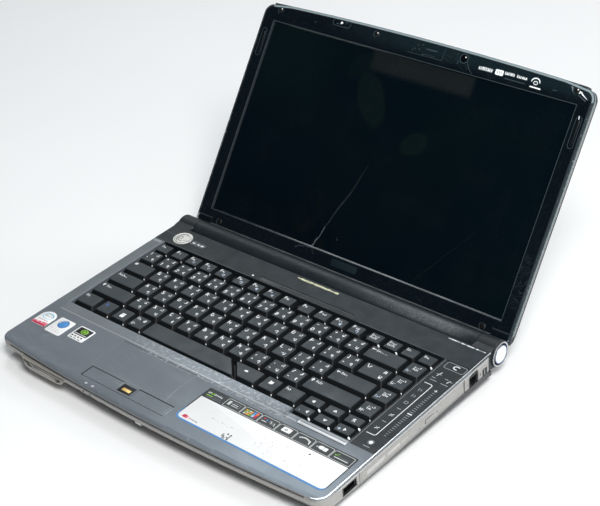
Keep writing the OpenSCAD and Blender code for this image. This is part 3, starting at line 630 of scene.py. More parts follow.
def refine(node, body, mat, width=0.25, segs=2, angle=30, clamp=True, cut=None, name=None, only=None):
    """A finished copy of a CAD node: welded, its flat faces made whole, its edges rounded by width mm."""
    me = bpy.data.meshes.new(name or node + "_skin")
    bm = bmesh.new()
    bm.from_mesh(NODES[node].data)
    bmesh.ops.remove_doubles(bm, verts=bm.verts, dist=2e-6)
    bmesh.ops.dissolve_limit(bm, angle_limit=math.radians(0.25), use_dissolve_boundaries=False, verts=bm.verts, edges=bm.edges)
    bmesh.ops.recalc_face_normals(bm, faces=bm.faces)
    layer = bm.loops.layers.float.new("edge")
    if width:
        lim = math.radians(angle)
        es = [e for e in bm.edges if len(e.link_faces) == 2 and e.calc_face_angle(0) > lim and (only is None or only(e))]
        out = bmesh.ops.bevel(bm, geom=es, offset=width * MM, offset_type="OFFSET", segments=segs, profile=0.5, affect="EDGES",
                              clamp_overlap=clamp, loop_slide=True)
        for f in out["faces"]:
            for lp in f.loops:
                lp[layer] = 1.0
    big = [f for f in bm.faces if len(f.verts) > 4]
    bmesh.ops.triangulate(bm, faces=big, quad_method="BEAUTY", ngon_method="BEAUTY")
    bm.to_mesh(me)
    bm.free()
    smooth_sharp(me)
    me.materials.append(mat)
    o = place(name or node + "_skin", me, body, (node,))
    return weighted(o)


def rounded(pts, r, n=4):
    """A convex outline with round corners: n + 1 points a corner."""
    out = []
    k = len(pts)
    rs = r if isinstance(r, (list, tuple)) else [r] * k
    for i in range(k):
        p, a, b = Vector(pts[i]), Vector(pts[i - 1]), Vector(pts[(i + 1) % k])
        u, v = (a - p).normalized(), (b - p).normalized()
        ang = math.acos(max(-1, min(1, u.dot(v))))
        t = min(rs[i] / math.tan(ang / 2), 0.49 * (a - p).length, 0.49 * (b - p).length)
        rr = t * math.tan(ang / 2)
        c = p + (u + v).normalized() * (rr / math.sin(ang / 2))
        s, e = p + u * t, p + v * t
        a0, a1 = math.atan2(s.y - c.y, s.x - c.x), math.atan2(e.y - c.y, e.x - c.x)
        da = (a1 - a0 + math.pi) % (2 * math.pi) - math.pi
        for j in range(n + 1):
            q = a0 + da * j / n
            out.append((c.x + rr * math.cos(q), c.y + rr * math.sin(q)))
    return out


def rect(x0, x1, y0, y1, r=0.0, n=4):
    p = [(x0, y0), (x1, y0), (x1, y1), (x0, y1)]
    return rounded(p, r, n) if r else p


def ring(cx, cy, r, n=32, a0=0.0, a1=2 * math.pi, ry=None):
    ry = r if ry is None else ry
    full = abs(a1 - a0 - 2 * math.pi) < 1e-6
    m = n if full else n + 1
    return [(cx + r * math.cos(a0 + (a1 - a0) * i / n), cy + ry * math.sin(a0 + (a1 - a0) * i / n)) for i in range(m)]


def inset(pts, d):
    """A convex counter-clockwise outline pulled in by d."""
    k = len(pts)
    out = []
    for i in range(k):
        p, a, b = Vector(pts[i]), Vector(pts[i - 1]), Vector(pts[(i + 1) % k])
        e0, e1 = (p - a).normalized(), (b - p).normalized()
        n0, n1 = Vector((-e0.y, e0.x)), Vector((-e1.y, e1.x))
        m = (n0 + n1).normalized()
        out.append(tuple(p + m * (d / max(0.3, m.dot(n0)))))
    return out


class Shape:
    """Collects closed solids in local millimetres and turns them into one piece."""

    def __init__(self, name, xf, *mats):
        self.name, self.xf, self.mats = name, xf, list(mats)
        self.v, self.f, self.mi = [], [], []

    def _add(self, verts, faces, m):
        o = len(self.v)
        self.v += verts
        self.f += [tuple(o + i for i in f) for f in faces]
        self.mi += [m] * len(faces)

    def loft(self, rings, m=0, cap0=True, cap1=True, tip=None, mats=None):
        """rings of equal length, each a list of (u, v, w); tip closes the last one on a point."""
        n, o = len(rings[0]), len(self.v)
        for r in rings:
            self.v += [tuple(p) for p in r]
        for k in range(len(rings) - 1):
            mm = mats[k] if mats else m
            for i in range(n):
                j = (i + 1) % n
                self.f.append((o + k * n + i, o + k * n + j, o + (k + 1) * n + j, o + (k + 1) * n + i))
                self.mi.append(mm)
        last = o + (len(rings) - 1) * n
        if cap0:
            self.f.append(tuple(o + n - 1 - i for i in range(n)))
            self.mi.append(mats[0] if mats else m)
        if tip is not None:
            self.v.append(tuple(tip))
            t = len(self.v) - 1
            for i in range(n):
                self.f.append((last + i, last + (i + 1) % n, t))
                self.mi.append(mats[-1] if mats else m)
        elif cap1:
            self.f.append(tuple(last + i for i in range(n)))
            self.mi.append(mats[-1] if mats else m)
        return self

    def prism(self, outline, w0, w1, m=0):
        z0 = w0 if callable(w0) else (lambda u, v: w0)
        z1 = w1 if callable(w1) else (lambda u, v: w1)
        return self.loft([[(u, v, z0(u, v)) for u, v in outline], [(u, v, z1(u, v)) for u, v in outline]], m)

    def plate(self, outline, w0, w1, m=0, soft=0.05):
        """A prism whose top edge is rounded."""
        i1, i2 = inset(outline, soft * 0.3), inset(outline, soft)
        return self.loft([[(u, v, w0) for u, v in outline], [(u, v, w1 - soft) for u, v in outline],
                          [(u, v, w1 - soft * 0.3) for u, v in i1], [(u, v, w1) for u, v in i2]], m)

    def ribbon(self, pts, width, w0, w1, m=0, closed=False, taper=None):
        """A flat line of the given width along pts; taper gives the width's share at each point."""
        k = len(pts)
        P = [Vector((p[0], p[1])) for p in pts]
        left, right = [], []
        if taper and len(taper) != k:                     # spread the shares evenly over the points
            m1 = len(taper) - 1
            at = [i * m1 / (k - 1) for i in range(k)]
            taper = [taper[int(t)] + (taper[min(int(t) + 1, m1)] - taper[int(t)]) * (t - int(t)) for t in at]
        for i in range(k):
            a = P[i - 1] if (closed or i > 0) else None
            b = P[(i + 1) % k] if (closed or i < k - 1) else None
            d0 = (P[i] - a).normalized() if a is not None else None
            d1 = (b - P[i]).normalized() if b is not None else None
            if d0 is None:
                d0 = d1
            if d1 is None:
                d1 = d0
            t = d0 + d1
            t = t.normalized() if t.length > 1e-6 else d0
            nrm = Vector((-t.y, t.x))
            c = max(0.35, nrm.dot(Vector((-d0.y, d0.x))))
            hw = width / 2 * (taper[i] if taper else 1) / c
            q = P[i]
            if not closed and i == 0:
                q = q - d1 * (width / 2 * 0.7)
            if not closed and i == k - 1:
                q = q + d0 * (width / 2 * 0.7)
            left.append(q + nrm * hw)
            right.append(q - nrm * hw)
        z0 = w0 if callable(w0) else (lambda u, v: w0)
        z1 = w1 if callable(w1) else (lambda u, v: w1)
        vs = []
        for i in range(k):
            for q, z in ((right[i], z0), (right[i], z1), (left[i], z1), (left[i], z0)):
                vs.append((q.x, q.y, z(q.x, q.y)))
        fs = []
        last = k if closed else k - 1
        for i in range(last):
            a, b = 4 * i, 4 * ((i + 1) % k)
            for c in range(4):
                d = (c + 1) % 4
                fs.append((a + c, a + d, b + d, b + c))
        if not closed:
            fs.append((3, 2, 1, 0))
            e = 4 * (k - 1)
            fs.append((e, e + 1, e + 2, e + 3))
        self._add(vs, fs, m)
        return self

    def revolve(self, cx, cy, profile, n=32, m=0, tip=True, mats=None):
        """profile: (radius, w) from the outside bottom to the middle."""
        rings = [[(u, v, w) for u, v in ring(cx, cy, r, n)] for r, w in profile if r > 1e-6]
        last = profile[-1]
        self.loft(rings, m, True, True, (cx, cy, last[1]) if (tip and last[0] <= 1e-6) else None, mats)
        return self

    def make(self, body, replaces=(), angle=35, weight=False):
        me = bpy.data.meshes.new(self.name)
        me.from_pydata([self.xf(*p) for p in self.v], [], self.f)
        for i, p in enumerate(me.polygons):
            p.material_index = self.mi[i]
        bm = bmesh.new()
        bm.from_mesh(me)
        bmesh.ops.remove_doubles(bm, verts=bm.verts, dist=1e-7)
        bmesh.ops.recalc_face_normals(bm, faces=bm.faces)
        bm.to_mesh(me)
        bm.free()
        for mt in self.mats:
            me.materials.append(mt)
        smooth_sharp(me, angle)
        o = place(self.name, me, body, replaces)
        return weighted(o) if weight else o


# ------------------------------------------------------------------ keys
GLYPH = {
    "A": [[(0, 0), (2, 6), (4, 0)], [(0.8, 2), (3.2, 2)]],
    "B": [[(0, 0), (0, 6), (2.6, 6), (3.6, 5.2), (3.6, 3.9), (2.6, 3.2), (0, 3.2)], [(2.6, 3.2), (4, 2.4), (4, 0.9), (2.8, 0), (0, 0)]],
    "C": [[(4, 5), (3, 6), (1, 6), (0, 5), (0, 1), (1, 0), (3, 0), (4, 1)]],
    "D": [[(0, 0), (0, 6), (2.4, 6), (4, 4.5), (4, 1.5), (2.4, 0), (0, 0)]],
    "E": [[(4, 6), (0, 6), (0, 0), (4, 0)], [(0, 3.1), (3.2, 3.1)]],
    "F": [[(4, 6), (0, 6), (0, 0)], [(0, 3.1), (3.2, 3.1)]],
    "G": [[(4, 5), (3, 6), (1, 6), (0, 5), (0, 1), (1, 0), (3, 0), (4, 1), (4, 2.8), (2.4, 2.8)]],
    "H": [[(0, 0), (0, 6)], [(4, 0), (4, 6)], [(0, 3), (4, 3)]],
    "I": [[(2, 0), (2, 6)]],
    "J": [[(3.4, 6), (3.4, 1), (2.4, 0), (1, 0), (0, 1)]],
    "K": [[(0, 0), (0, 6)], [(4, 6), (0, 2.4)], [(1.4, 3.6), (4, 0)]],
    "L": [[(0, 6), (0, 0), (3.8, 0)]],
    "M": [[(0, 0), (0, 6), (2, 2.4), (4, 6), (4, 0)]],
    "N": [[(0, 0), (0, 6), (4, 0), (4, 6)]],
    "O": [[(1, 0), (0, 1), (0, 5), (1, 6), (3, 6), (4, 5), (4, 1), (3, 0), (1, 0)]],
    "P": [[(0, 0), (0, 6), (2.8, 6), (4, 5.2), (4, 3.6), (2.8, 2.8), (0, 2.8)]],
    "Q": [[(1, 0), (0, 1), (0, 5), (1, 6), (3, 6), (4, 5), (4, 1), (3, 0), (1, 0)], [(2.4, 1.8), (4.2, -0.4)]],
    "R": [[(0, 0), (0, 6), (2.8, 6), (4, 5.2), (4, 3.6), (2.8, 2.8), (0, 2.8)], [(2, 2.8), (4, 0)]],
    "S": [[(3.9, 5.1), (3, 6), (1, 6), (0, 5.1), (0, 4), (1, 3.2), (3, 2.8), (4, 2), (4, 0.9), (3, 0), (1, 0), (0, 0.9)]],
    "T": [[(0, 6), (4, 6)], [(2, 6), (2, 0)]],
    "U": [[(0, 6), (0, 1), (1, 0), (3, 0), (4, 1), (4, 6)]],
    "V": [[(0, 6), (2, 0), (4, 6)]],
    "W": [[(0, 6), (1, 0), (2, 4), (3, 0), (4, 6)]],
    "X": [[(0, 0), (4, 6)], [(0, 6), (4, 0)]],
    "Y": [[(0, 6), (2, 3), (4, 6)], [(2, 3), (2, 0)]],
    "Z": [[(0, 6), (4, 6), (0, 0), (4, 0)]],
    "0": [[(1, 0), (0, 1), (0, 5), (1, 6), (3, 6), (4, 5), (4, 1), (3, 0), (1, 0)]],
    "1": [[(0.8, 4.8), (2.2, 6), (2.2, 0)]],
    "2": [[(0, 5), (1, 6), (3, 6), (4, 5), (4, 3.8), (0, 0), (4, 0)]],
    "3": [[(0, 6), (4, 6), (1.8, 3.6), (3, 3.6), (4, 2.6), (4, 1), (3, 0), (1, 0), (0, 0.9)]],
    "4": [[(3, 0), (3, 6), (0, 1.8), (4.2, 1.8)]],
    "5": [[(4, 6), (0.3, 6), (0, 3.3), (2.8, 3.6), (4, 2.6), (4, 1), (3, 0), (1, 0), (0, 0.8)]],
    "6": [[(3.6, 6), (1.4, 5), (0, 2.6), (0, 1), (1, 0), (3, 0), (4, 1), (4, 2.4), (3, 3.4), (1, 3.2), (0, 2.2)]],
    "7": [[(0, 6), (4, 6), (1.4, 0)]],
    "8": [[(1, 3.2), (0.2, 4.2), (0.2, 5.2), (1, 6), (3, 6), (3.8, 5.2), (3.8, 4.2), (3, 3.2), (1, 3.2)], [(1, 3.2), (0, 2.2), (0, 0.9), (1, 0), (3, 0), (4, 0.9), (4, 2.2), (3, 3.2)]],
    "9": [[(0.4, 0), (2.6, 1), (4, 3.4), (4, 5), (3, 6), (1, 6), (0, 5), (0, 3.6), (1, 2.6), (3, 2.8), (4, 3.8)]],
    "-": [[(0.4, 3), (3.6, 3)]],
    "=": [[(0.4, 4), (3.6, 4)], [(0.4, 2), (3.6, 2)]],
    "[": [[(3, 6.4), (1.4, 6.4), (1.4, -0.4), (3, -0.4)]],
    "]": [[(1, 6.4), (2.6, 6.4), (2.6, -0.4), (1, -0.4)]],
    "\\": [[(0.6, 6.2), (3.4, -0.2)]],
    ";": [[(2, 4.2), (2, 3.4)], [(2, 1.2), (2, 0.6), (1.4, -0.8)]],
    "'": [[(2, 6), (2, 4.2)]],
    ",": [[(2, 1), (2, 0.4), (1.4, -1)]],
    ".": [[(2, 0.8), (2, 0)]],
    "/": [[(0.6, -0.2), (3.4, 6.2)]],
    "`": [[(1.2, 6), (2.6, 4.6)]],
    "+": [[(0.4, 3), (3.6, 3)], [(2, 4.6), (2, 1.4)]],
    "^": [[(0.8, 3.6), (2, 5.6), (3.2, 3.6)]],
    "!": [[(2, 6), (2, 2)], [(2, 0.8), (2, 0)]],
    "<": [[(3.4, 5), (0.6, 3), (3.4, 1)]],
    ">": [[(0.6, 5), (3.4, 3), (0.6, 1)]],
    "up": [[(0.2, 2.4), (2, 5), (3.8, 2.4), (0.2, 2.4)]],
    "down": [[(0.2, 3.8), (2, 1.2), (3.8, 3.8), (0.2, 3.8)]],
    "left": [[(3.2, 4.8), (0.8, 3), (3.2, 1.2), (3.2, 4.8)]],
    "right": [[(0.8, 4.8), (3.2, 3), (0.8, 1.2), (0.8, 4.8)]],
    "shift": [[(2, 6), (0, 3.6), (1.2, 3.6), (1.2, 0.8), (2.8, 0.8), (2.8, 3.6), (4, 3.6), (2, 6)]],
    "square": [[(0.4, 0.6), (3.6, 0.6), (3.6, 5.4), (0.4, 5.4), (0.4, 0.6)], [(1.4, 3.8), (2.6, 3.8)], [(1.4, 2.2), (2.6, 2.2)]],
    "pane": [[(0.3, 0.8), (3.7, 0.8), (3.7, 5.2), (0.3, 5.2), (0.3, 0.8)]],
    "arrow": [[(6.4, 3), (0.4, 3)], [(2, 4.6), (0.2, 3), (2, 1.4)]],
    "tab": [[(0.2, 4.2), (5, 4.2)], [(3.8, 5.4), (5.2, 4.2), (3.8, 3)], [(5.4, 1.8), (0.6, 1.8)], [(1.8, 3), (0.4, 1.8), (1.8, 0.6)]],
    "sun": [ring(2, 3, 1.1, 8) + [(3.1, 3)], [(2, 5.2), (2, 5.9)], [(2, 0.8), (2, 0.1)], [(4.2, 3), (4.9, 3)], [(-0.2, 3), (-0.9, 3)]],
    "moon": [ring(2, 3, 2, 8, 0.9, 5.4)],
    "note": [[(0.4, 1.8), (1.6, 1.8), (3, 0.6), (3, 5.4), (1.6, 4.2), (0.4, 4.2), (0.4, 1.8)]],
    "screen": [[(0, 1.4), (4, 1.4), (4, 5.4), (0, 5.4), (0, 1.4)], [(1, 0.2), (3, 0.2)]],
    "dot": [[(1.7, 3), (2.3, 3)]],
}
# neutral curls that stand where the second script's signs are
CURL = [
    [[(0.4, 0), (0.4, 3.4), (1.2, 4.2), (2.4, 4), (2.8, 3), (2.8, 0)]],
    [[(0.2, 3.6), (1, 4.2), (1.4, 3.2), (0.8, 2.4), (0.6, 0.6), (1.6, 0), (2.8, 0.8), (2.8, 4)]],
    [[(0.6, 0.2), (0.6, 2.6), (1.4, 3.8), (2.8, 3.4), (3, 2), (3, 0.2)], [(1.6, 1.8), (1.9, 1.4)]],
    [[(0.2, 0.4), (1, 0), (1.8, 1), (1.8, 4)], [(2.6, 4), (2.6, 0.4)]],
    [[(3, 3.8), (1.2, 4), (0.4, 3), (0.8, 2), (2.4, 1.8), (2.8, 0.8), (1.8, 0), (0.4, 0.4)]],
    [[(0.4, 4), (0.4, 0.8), (1.2, 0), (1.8, 1.2), (2.2, 0), (3, 0.8), (3, 4)]],
    [[(0.4, 2.8), (1, 4), (2.4, 4), (3, 2.8), (3, 0)], [(1.6, 2), (0.6, 0)]],
]


def glyph(s, strokes, x, y, size, w, z, m=0, sx=1.0):
    """Strokes drawn on a 4 x 6 field, its lower left at (x, y), size mm tall, lying on the height z(u, v)."""
    k = size / 6.0
    w = w * 1.35
    for line in strokes:
        s.ribbon([(x + p[0] * k * sx, y + p[1] * k) for p in line], w, lambda u, v: z(u, v) - 0.03, lambda u, v: z(u, v) + 0.022, m)


def word(s, x, y, size, n, z, m=0, w=0.46, seed=0):
    """A word's place: a short row of upright and level ticks, no letters."""
    q = random.Random(seed)
    for i in range(n):
        u = x + i * size * 0.62
        h = size * (1.0 if i == 0 or q.random() < 0.3 else 0.66)
        s.ribbon([(u, y), (u, y + h)], w, lambda a, b: z(a, b) - 0.03, lambda a, b: z(a, b) + 0.022, m)
        if q.random() < 0.62:
            v = y + (h * 0.5 if q.random() < 0.5 else 0.06)
            s.ribbon([(u + w * 0.5, v), (u + size * 0.34, v)], w * 0.85, lambda a, b: z(a, b) - 0.03, lambda a, b: z(a, b) + 0.02, m)


KEY_TOP = 1.3
PITCH = 18.92
XK = -157.9
ROWS = [-67.0, -48.08, -29.16, -10.24, 8.68, 27.6]


class Cap:
    def __init__(self, base, top, labels=(), dish=0.16):
        self.base, self.top, self.labels = base, top, labels
        xs, ys = [p[0] for p in top], [p[1] for p in top]
        self.x0, self.x1, self.y0, self.y1 = min(xs), max(xs), min(ys), max(ys)
        self.cx, self.hw = (self.x0 + self.x1) / 2, (self.x1 - self.x0) / 2
        self.dish = dish if self.x1 - self.x0 < 40 else 0.0
        self.lift = -rnd.random() * 0.12
        self.tx = (rnd.random() - 0.5) * 0.006
        self.ty = (rnd.random() - 0.5) * 0.008

    def h(self, u, v):
        q = (u - self.cx) / self.hw
        lean = (u - self.cx) * self.tx + (v - (self.y0 + self.y1) / 2) * self.ty
        return KEY_TOP - 0.14 + self.lift * 0.5 + lean - self.dish * (1 - min(1, q * q))

    def build(self, s):
        n = 4
        n_corner = 3
        zb = -2.96
        B = rounded(self.base, 0.7, n_corner)
        E = rounded(self.top, 1.1, n_corner)
        C = rounded(inset(self.top, 0.55), 0.9, n_corner)
        ring0 = [(u, v, zb) for u, v in B]
        edge = [(u, v, self.h(u, v) + 0.02) for u, v in E]
        inner = [(u, v, self.h(u, v)) for u, v in C]
        k = 0.82
        low = []
        for a, b in zip(ring0, edge):
            low.append(tuple(a[i] + (b[i] - a[i]) * k for i in range(3)))
        rings = [ring0, low]
        mats = [1]
        for t in (0.3, 0.55, 0.78, 1.0):
            rings.append([tuple((1 - t) ** 2 * a[i] + 2 * t * (1 - t) * b[i] + t * t * c[i] for i in range(3)) for a, b, c in zip(low, edge, inner)])
            mats.append(1 if t < 0.5 else 0)
        cx = sum(p[0] for p in C) / len(C)
        cy = sum(p[1] for p in C) / len(C)
        for f in (0.7, 0.36):
            rr = [(cx + (u - cx) * f, cy + (v - cy) * f) for u, v in C]
            rings.append([(u, v, self.h(u, v)) for u, v in rr])
            mats.append(0)
        mats.append(0)
        s.loft(rings, 0, True, False, (cx, cy, self.h(cx, cy)), mats)


def cap(x0, x1, y0, y1, labels=(), f=3.6):
    return Cap([(x0, y0), (x1, y0), (x1, y1), (x0, y1)],
               [(x0 + 2, y0 + f), (x1 - 2, y0 + f), (x1 - 2, y1 - 0.6), (x0 + 2, y1 - 0.6)], labels)


def key(r, u0, u1, labels=()):
    return cap(XK + u0 * PITCH + 0.46, XK + u1 * PITCH - 0.46, ROWS[r] + 0.4, ROWS[r] + PITCH - 0.46, labels)


def letters(r, u0, text):
    return [key(r, u0 + i, u0 + i + 1, ("letter", c)) for i, c in enumerate(text)]


FX = [-148.5, -130.1, -113.1, -95.7, -78.4, -58, -40.6, -23.2, -5.8, 14.3, 31.7, 49.1, 66.5, 85.6, 103.0, 119.8, 136.4]
arrows = []
for u, (top_mark, low_mark) in zip((13, 14, 15), ((("euro",), ("left",)), (("up",), ("down",)), (("money",), ("right",)))):
    x = XK + u * PITCH
    arrows.append(cap(x + 0.46, x + PITCH - 0.46, -60, -48.54, ("arrow", top_mark[0]), 2.4))
    arrows.append(cap(x + 0.46, x + PITCH - 0.46, -72, -60.6, ("arrow", low_mark[0]), 2.4))
CAPS = {
    "function_row_keys": [cap(x - 8.1, x + 8.1, 28.1, 40.9, ("f", i), 1.9) for i, x in enumerate(FX)],
    "number_row_keys": [key(4, i, i + 1, ("number", c)) for i, c in enumerate("`1234567890-=")]
    + [key(4, 13, 15, ("wide", "arrow", 7)), key(4, 15, 16, ("side", 0))],
    "upper_letter_keys": [key(3, 0, 1.5, ("wide", "tab", 0))] + letters(3, 1.5, "QWERTYUIOP[]")
    + [key(3, 13.5, 15, ("slash",)), key(3, 15, 16, ("side", 1))],
    "home_letter_keys": [key(2, 0, 1.75, ("wide", None, 7))] + letters(2, 1.75, "ASDFGHJKL;'") + [key(2, 15, 16, ("side", 2))],
    "enter_key": [key(2, 12.75, 15, ("wide", "arrow", 4))],
    "lower_letter_keys": [key(1, 0, 2.25, ("wide", "shift", 4))] + letters(1, 2.25, "ZXCVBNM,./")
    + [key(1, 12.25, 15, ("wide", "shift", 4)), key(1, 15, 16, ("side", 3))],
    "bottom_row_keys": [key(0, 0, 1.25, ("word", 3)), key(0, 1.25, 2.25, ("blue",)), key(0, 2.25, 3.25, ("pane",)), key(0, 3.25, 4.25, ("word2", 2)),
                        Cap([(28.6, -66.6), (45.8, -66.6), (45.8, -48.54), (11.8, -48.54)],
                            [(27.2, -63), (43.8, -63), (43.8, -49.14), (14.4, -49.14)], ("altgr",)),
                        cap(46.7, 64.7, -66.6, -48.54, ("menu",)), cap(65.6, 87.2, -66.6, -48.54, ("word", 3))],
    "space_key": [Cap([(-76.9, -66.6), (27.5, -66.6), (10.7, -48.54), (-76.9, -48.54)],
                      [(-75.2, -65.2), (24.4, -65.2), (8.8, -49.14), (-75.2, -49.14)], ())],
    "arrow_keys": arrows,
}
SIGNS = "!^+=<-^>^'-+="
F_ICON = [None, None, "moon", "moon", "screen", "screen", "square", "note", None, None, None, "square", "pane", None, None, None, None]


def legends(s, c, i):
    if not c.labels:
        return
    kind, z = c.labels[0], c.h
    x0, x1, y0, y1 = c.x0, c.x1, c.y0, c.y1
    W, SZ = 0.5, 3.3
    if kind == "letter":
        ch = c.labels[1]
        glyph(s, GLYPH[ch], x0 + 1.7, y1 - 1.4 - SZ, SZ, W, z, sx=0.95)
        if not ch.isalpha():
            glyph(s, GLYPH["^" if ch in "[;," else "-"], x0 + 1.9, y0 + 2.0, 2.6, 0.42, z)
        a, b = CURL[(i * 3 + 1) % 7], CURL[(i * 5 + 2) % 7]
        glyph(s, a, x1 - 4.6, y1 - 4.4, 4.2, 0.44, z)
        glyph(s, b, x1 - 5.4, y0 + 2.0, 4.4, 0.5, z)
        if ch in "UIOPJKLM":
            glyph(s, GLYPH["456*1230"[min(7, "UIOPJKLM".index(ch))]] if "456*1230"["UIOPJKLM".index(ch)] != "*" else GLYPH["dot"],
                  c.cx - 0.2, y0 + 1.7, 2.3, 0.36, z, 2)
    elif kind == "number":
        glyph(s, GLYPH[c.labels[1]], x0 + 1.9, y0 + 2.0, 3.1, W, z)
        glyph(s, GLYPH[SIGNS[i % len(SIGNS)]], x0 + 1.9, y1 - 4.6, 3.0, 0.46, z)
        glyph(s, CURL[(i * 3) % 7], x1 - 4.6, y1 - 4.4, 4.2, 0.44, z)
        glyph(s, CURL[(i * 5 + 1) % 7], x1 - 5.2, y0 + 2.0, 4.3, 0.5, z)
    elif kind == "wide":
        x = x0 + 1.8
        if c.labels[1]:
            glyph(s, GLYPH[c.labels[1]], x, y1 - 5.0, 3.2, 0.44, z)
            x += 5.0
        if c.labels[2]:
            word(s, x, y1 - 4.6, 2.6, c.labels[2], z, seed=i * 7 + c.labels[2])
    elif kind == "word":
        word(s, x0 + 1.8, y1 - 4.6, 2.6, c.labels[1], z, seed=41 + i)
    elif kind == "word2":
        word(s, x0 + 1.8, y1 - 4.4, 2.6, 3, z, seed=51 + i)
        word(s, x0 + 1.8, y0 + 2.4, 2.2, 3, z, seed=52 + i)
        glyph(s, GLYPH["square"], x1 - 5.0, y1 - 5.2, 3.2, 0.4, z)
    elif kind == "blue":
        word(s, x0 + 3.2, y1 - 5.4, 2.8, 2, z, 1, 0.42, seed=61)
    elif kind == "pane":
        s.prism(rect(c.cx - 2.1, c.cx + 2.1, c.cx * 0 + y0 + 3.4, y0 + 7.0, 0.7), lambda u, v: z(u, v) - 0.03, lambda u, v: z(u, v) + 0.022, 0)
        s.prism(rect(c.cx - 2.1, c.cx + 2.1, y0 + 7.4, y0 + 8.6, 0.5), lambda u, v: z(u, v) - 0.03, lambda u, v: z(u, v) + 0.022, 0)
    elif kind == "menu":
        glyph(s, GLYPH["square"], c.cx - 2.2, y1 - 7.4, 4.4, 0.46, z)
        s.prism(rect(c.cx - 1.5, c.cx + 1.5, y1 - 6.4, y1 - 4.0), lambda u, v: z(u, v) - 0.03, lambda u, v: z(u, v) + 0.03, 0)
    elif kind == "altgr":
        s.prism(rounded([(c.cx - 1.4, y1 - 6.4), (c.cx + 2.6, y1 - 6.4), (c.cx + 1.8, y1 - 4.6), (c.cx - 0.6, y1 - 4.6)], 0.4, 2),
                lambda u, v: z(u, v) - 0.03, lambda u, v: z(u, v) + 0.022, 0)
    elif kind == "slash":
        glyph(s, GLYPH["\\"], x0 + 1.8, y1 - 5.0, 3.4, 0.46, z)
        glyph(s, GLYPH["/"], x0 + 4.4, y1 - 5.0, 3.4, 0.46, z)
        glyph(s, CURL[2], x1 - 5.2, y1 - 5.0, 4.4, 0.5, z)
        glyph(s, CURL[5], x1 - 5.4, y0 + 2.0, 4.4, 0.5, z)
    elif kind == "side":
        k = c.labels[1]
        word(s, x0 + 5.4, y1 - 4.4, 2.5, 4 if k else 4, z, seed=71 + k)
        word(s, x0 + 5.4, y1 - 7.4, 2.2, 3 if k % 2 else 4, z, seed=81 + k)
        word(s, x0 + 1.8, y0 + 2.2, 2.6, 3, z, 2 if k in (0, 2) else 0, seed=91 + k)
    elif kind == "f":
        k = c.labels[1]
        if 1 <= k <= 12:
            glyph(s, GLYPH["F"], x0 + 1.6, y1 - 4.0, 2.7, 0.44, z)
            d = str(k)
            for j, ch in enumerate(d):
                glyph(s, GLYPH[ch], x0 + 3.9 + j * 2.1, y1 - 4.0, 2.7, 0.44, z)
        elif k in (13, 14):
            word(s, x0 + 1.6, y1 - 3.8, 2.4, 5, z, seed=k)
            word(s, x0 + 1.6, y1 - 7.0, 2.4, 5, z, seed=k + 3)
        else:
            word(s, x0 + 1.8, y1 - 4.0, 2.5, 3, z, seed=k)
        if F_ICON[k] and k < 13:
            glyph(s, GLYPH[F_ICON[k]], x1 - 5.6, y0 + 1.5, 3.4, 0.5, z, 2)
    elif kind == "arrow":
        k = c.labels[1]
        if k == "euro":
            glyph(s, [ring(2, 3, 1.9, 10, 0.8, 5.5), [(-0.4, 3.6), (2.4, 3.6)], [(-0.4, 2.4), (2.4, 2.4)]], c.cx - 1.6, c.y0 + 2.4, 3.2, 0.46, z)
        elif k == "money":
            glyph(s, GLYPH["S"], c.cx - 1.4, c.y0 + 2.4, 3.0, 0.46, z)
        else:
            glyph(s, GLYPH[k], c.cx - 0.6 if k != "left" else c.cx + 1.2, c.y0 + 2.0, 4.0, 0.46, z)
            if k in ("left", "right"):
                glyph(s, GLYPH["sun" if k == "right" else "dot"], c.x0 + 2.4, c.y0 + 1.5, 2.5, 0.4, z, 2)


for node, caps in CAPS.items():
    s = Shape(node + "_caps", deck, M["key_top"], M["key_skirt"])
    for c in caps:
        c.build(s)
    s.make(node, (node,), 50)
    s = Shape(node + "_legends", deck, M["legend"], M["legend_blue"], M["legend_ice"])
    for i, c in enumerate(caps):
        legends(s, c, i)
    if s.v:
        s.make(node)


# ------------------------------------------------------------------ the CAD nodes that stay, with their finishes
SLOT_MAT = {"case_plastic": "case_plastic", "deck_plastic": "deck_plastic", "dark_plastic": "dark_plastic", "touch_strip": "touch_strip",
            "key_plastic": "key_top", "black_plastic": "black_plastic", "silver_plastic": "silver_plastic", "lit_plastic": "lit_plastic",
            "label_film": "label_film", "steel": "steel", "drive_metal": "drive_metal", "copper_tone": "copper_tone", "board": "board",
            "blue_plastic": "blue_plastic", "rubber": "rubber", "lid_paint": "lid_paint", "bezel_gloss": "bezel_gloss", "screen_film": "screen_film"}
for name, o in NODES.items():
    for ms in o.material_slots:
        ms.material = M[SLOT_MAT[ms.material.name.split(".")[0]]]

# ------------------------------------------------------------------ shells with rounded edges
refine("bottom_case", "base", M["case_plastic"], 0.3, 2, 30)
refine("palm_rest", "base", M["deck_plastic"], 0.22, 2, 30)
refine("hinge_cover", "base", M["dark_plastic"], 0.2, 2, 30)
refine("media_panel", "base", M["touch_strip"], 0.18, 2, 40)
refine("touchpad", "base", M["deck_plastic"], 0.15, 2, 40)
refine("left_click_button", "left_click_button", M["deck_plastic"], 0.3, 3, 40)
refine("right_click_button", "right_click_button", M["deck_plastic"], 0.3, 3, 40)
refine("hinge_cap_left", "base", M["barrel_cap"], 0.5, 3, 40)
refine("hinge_cap_right", "base", M["barrel_cap"], 0.25, 2, 40)
refine("disc_tray", "disc_tray", M["case_plastic"], 0.3, 2, 40)
refine("eject_button", "eject_button", M["case_plastic"], 0.25, 2, 40)
refine("battery_pack", "base", M["black_plastic"], 0.6, 3, 40)
refine("memory_door", "base", M["black_plastic"], 0.3, 2, 40)
refine("rubber_feet", "base", M["rubber"], 0.4, 2, 40)
refine("usb_ports", "base", M["dark_steel"], 0.1, 1, 40)
refine("lid_cover", "lid", M["lid_paint"], 0.5, 3, 30)
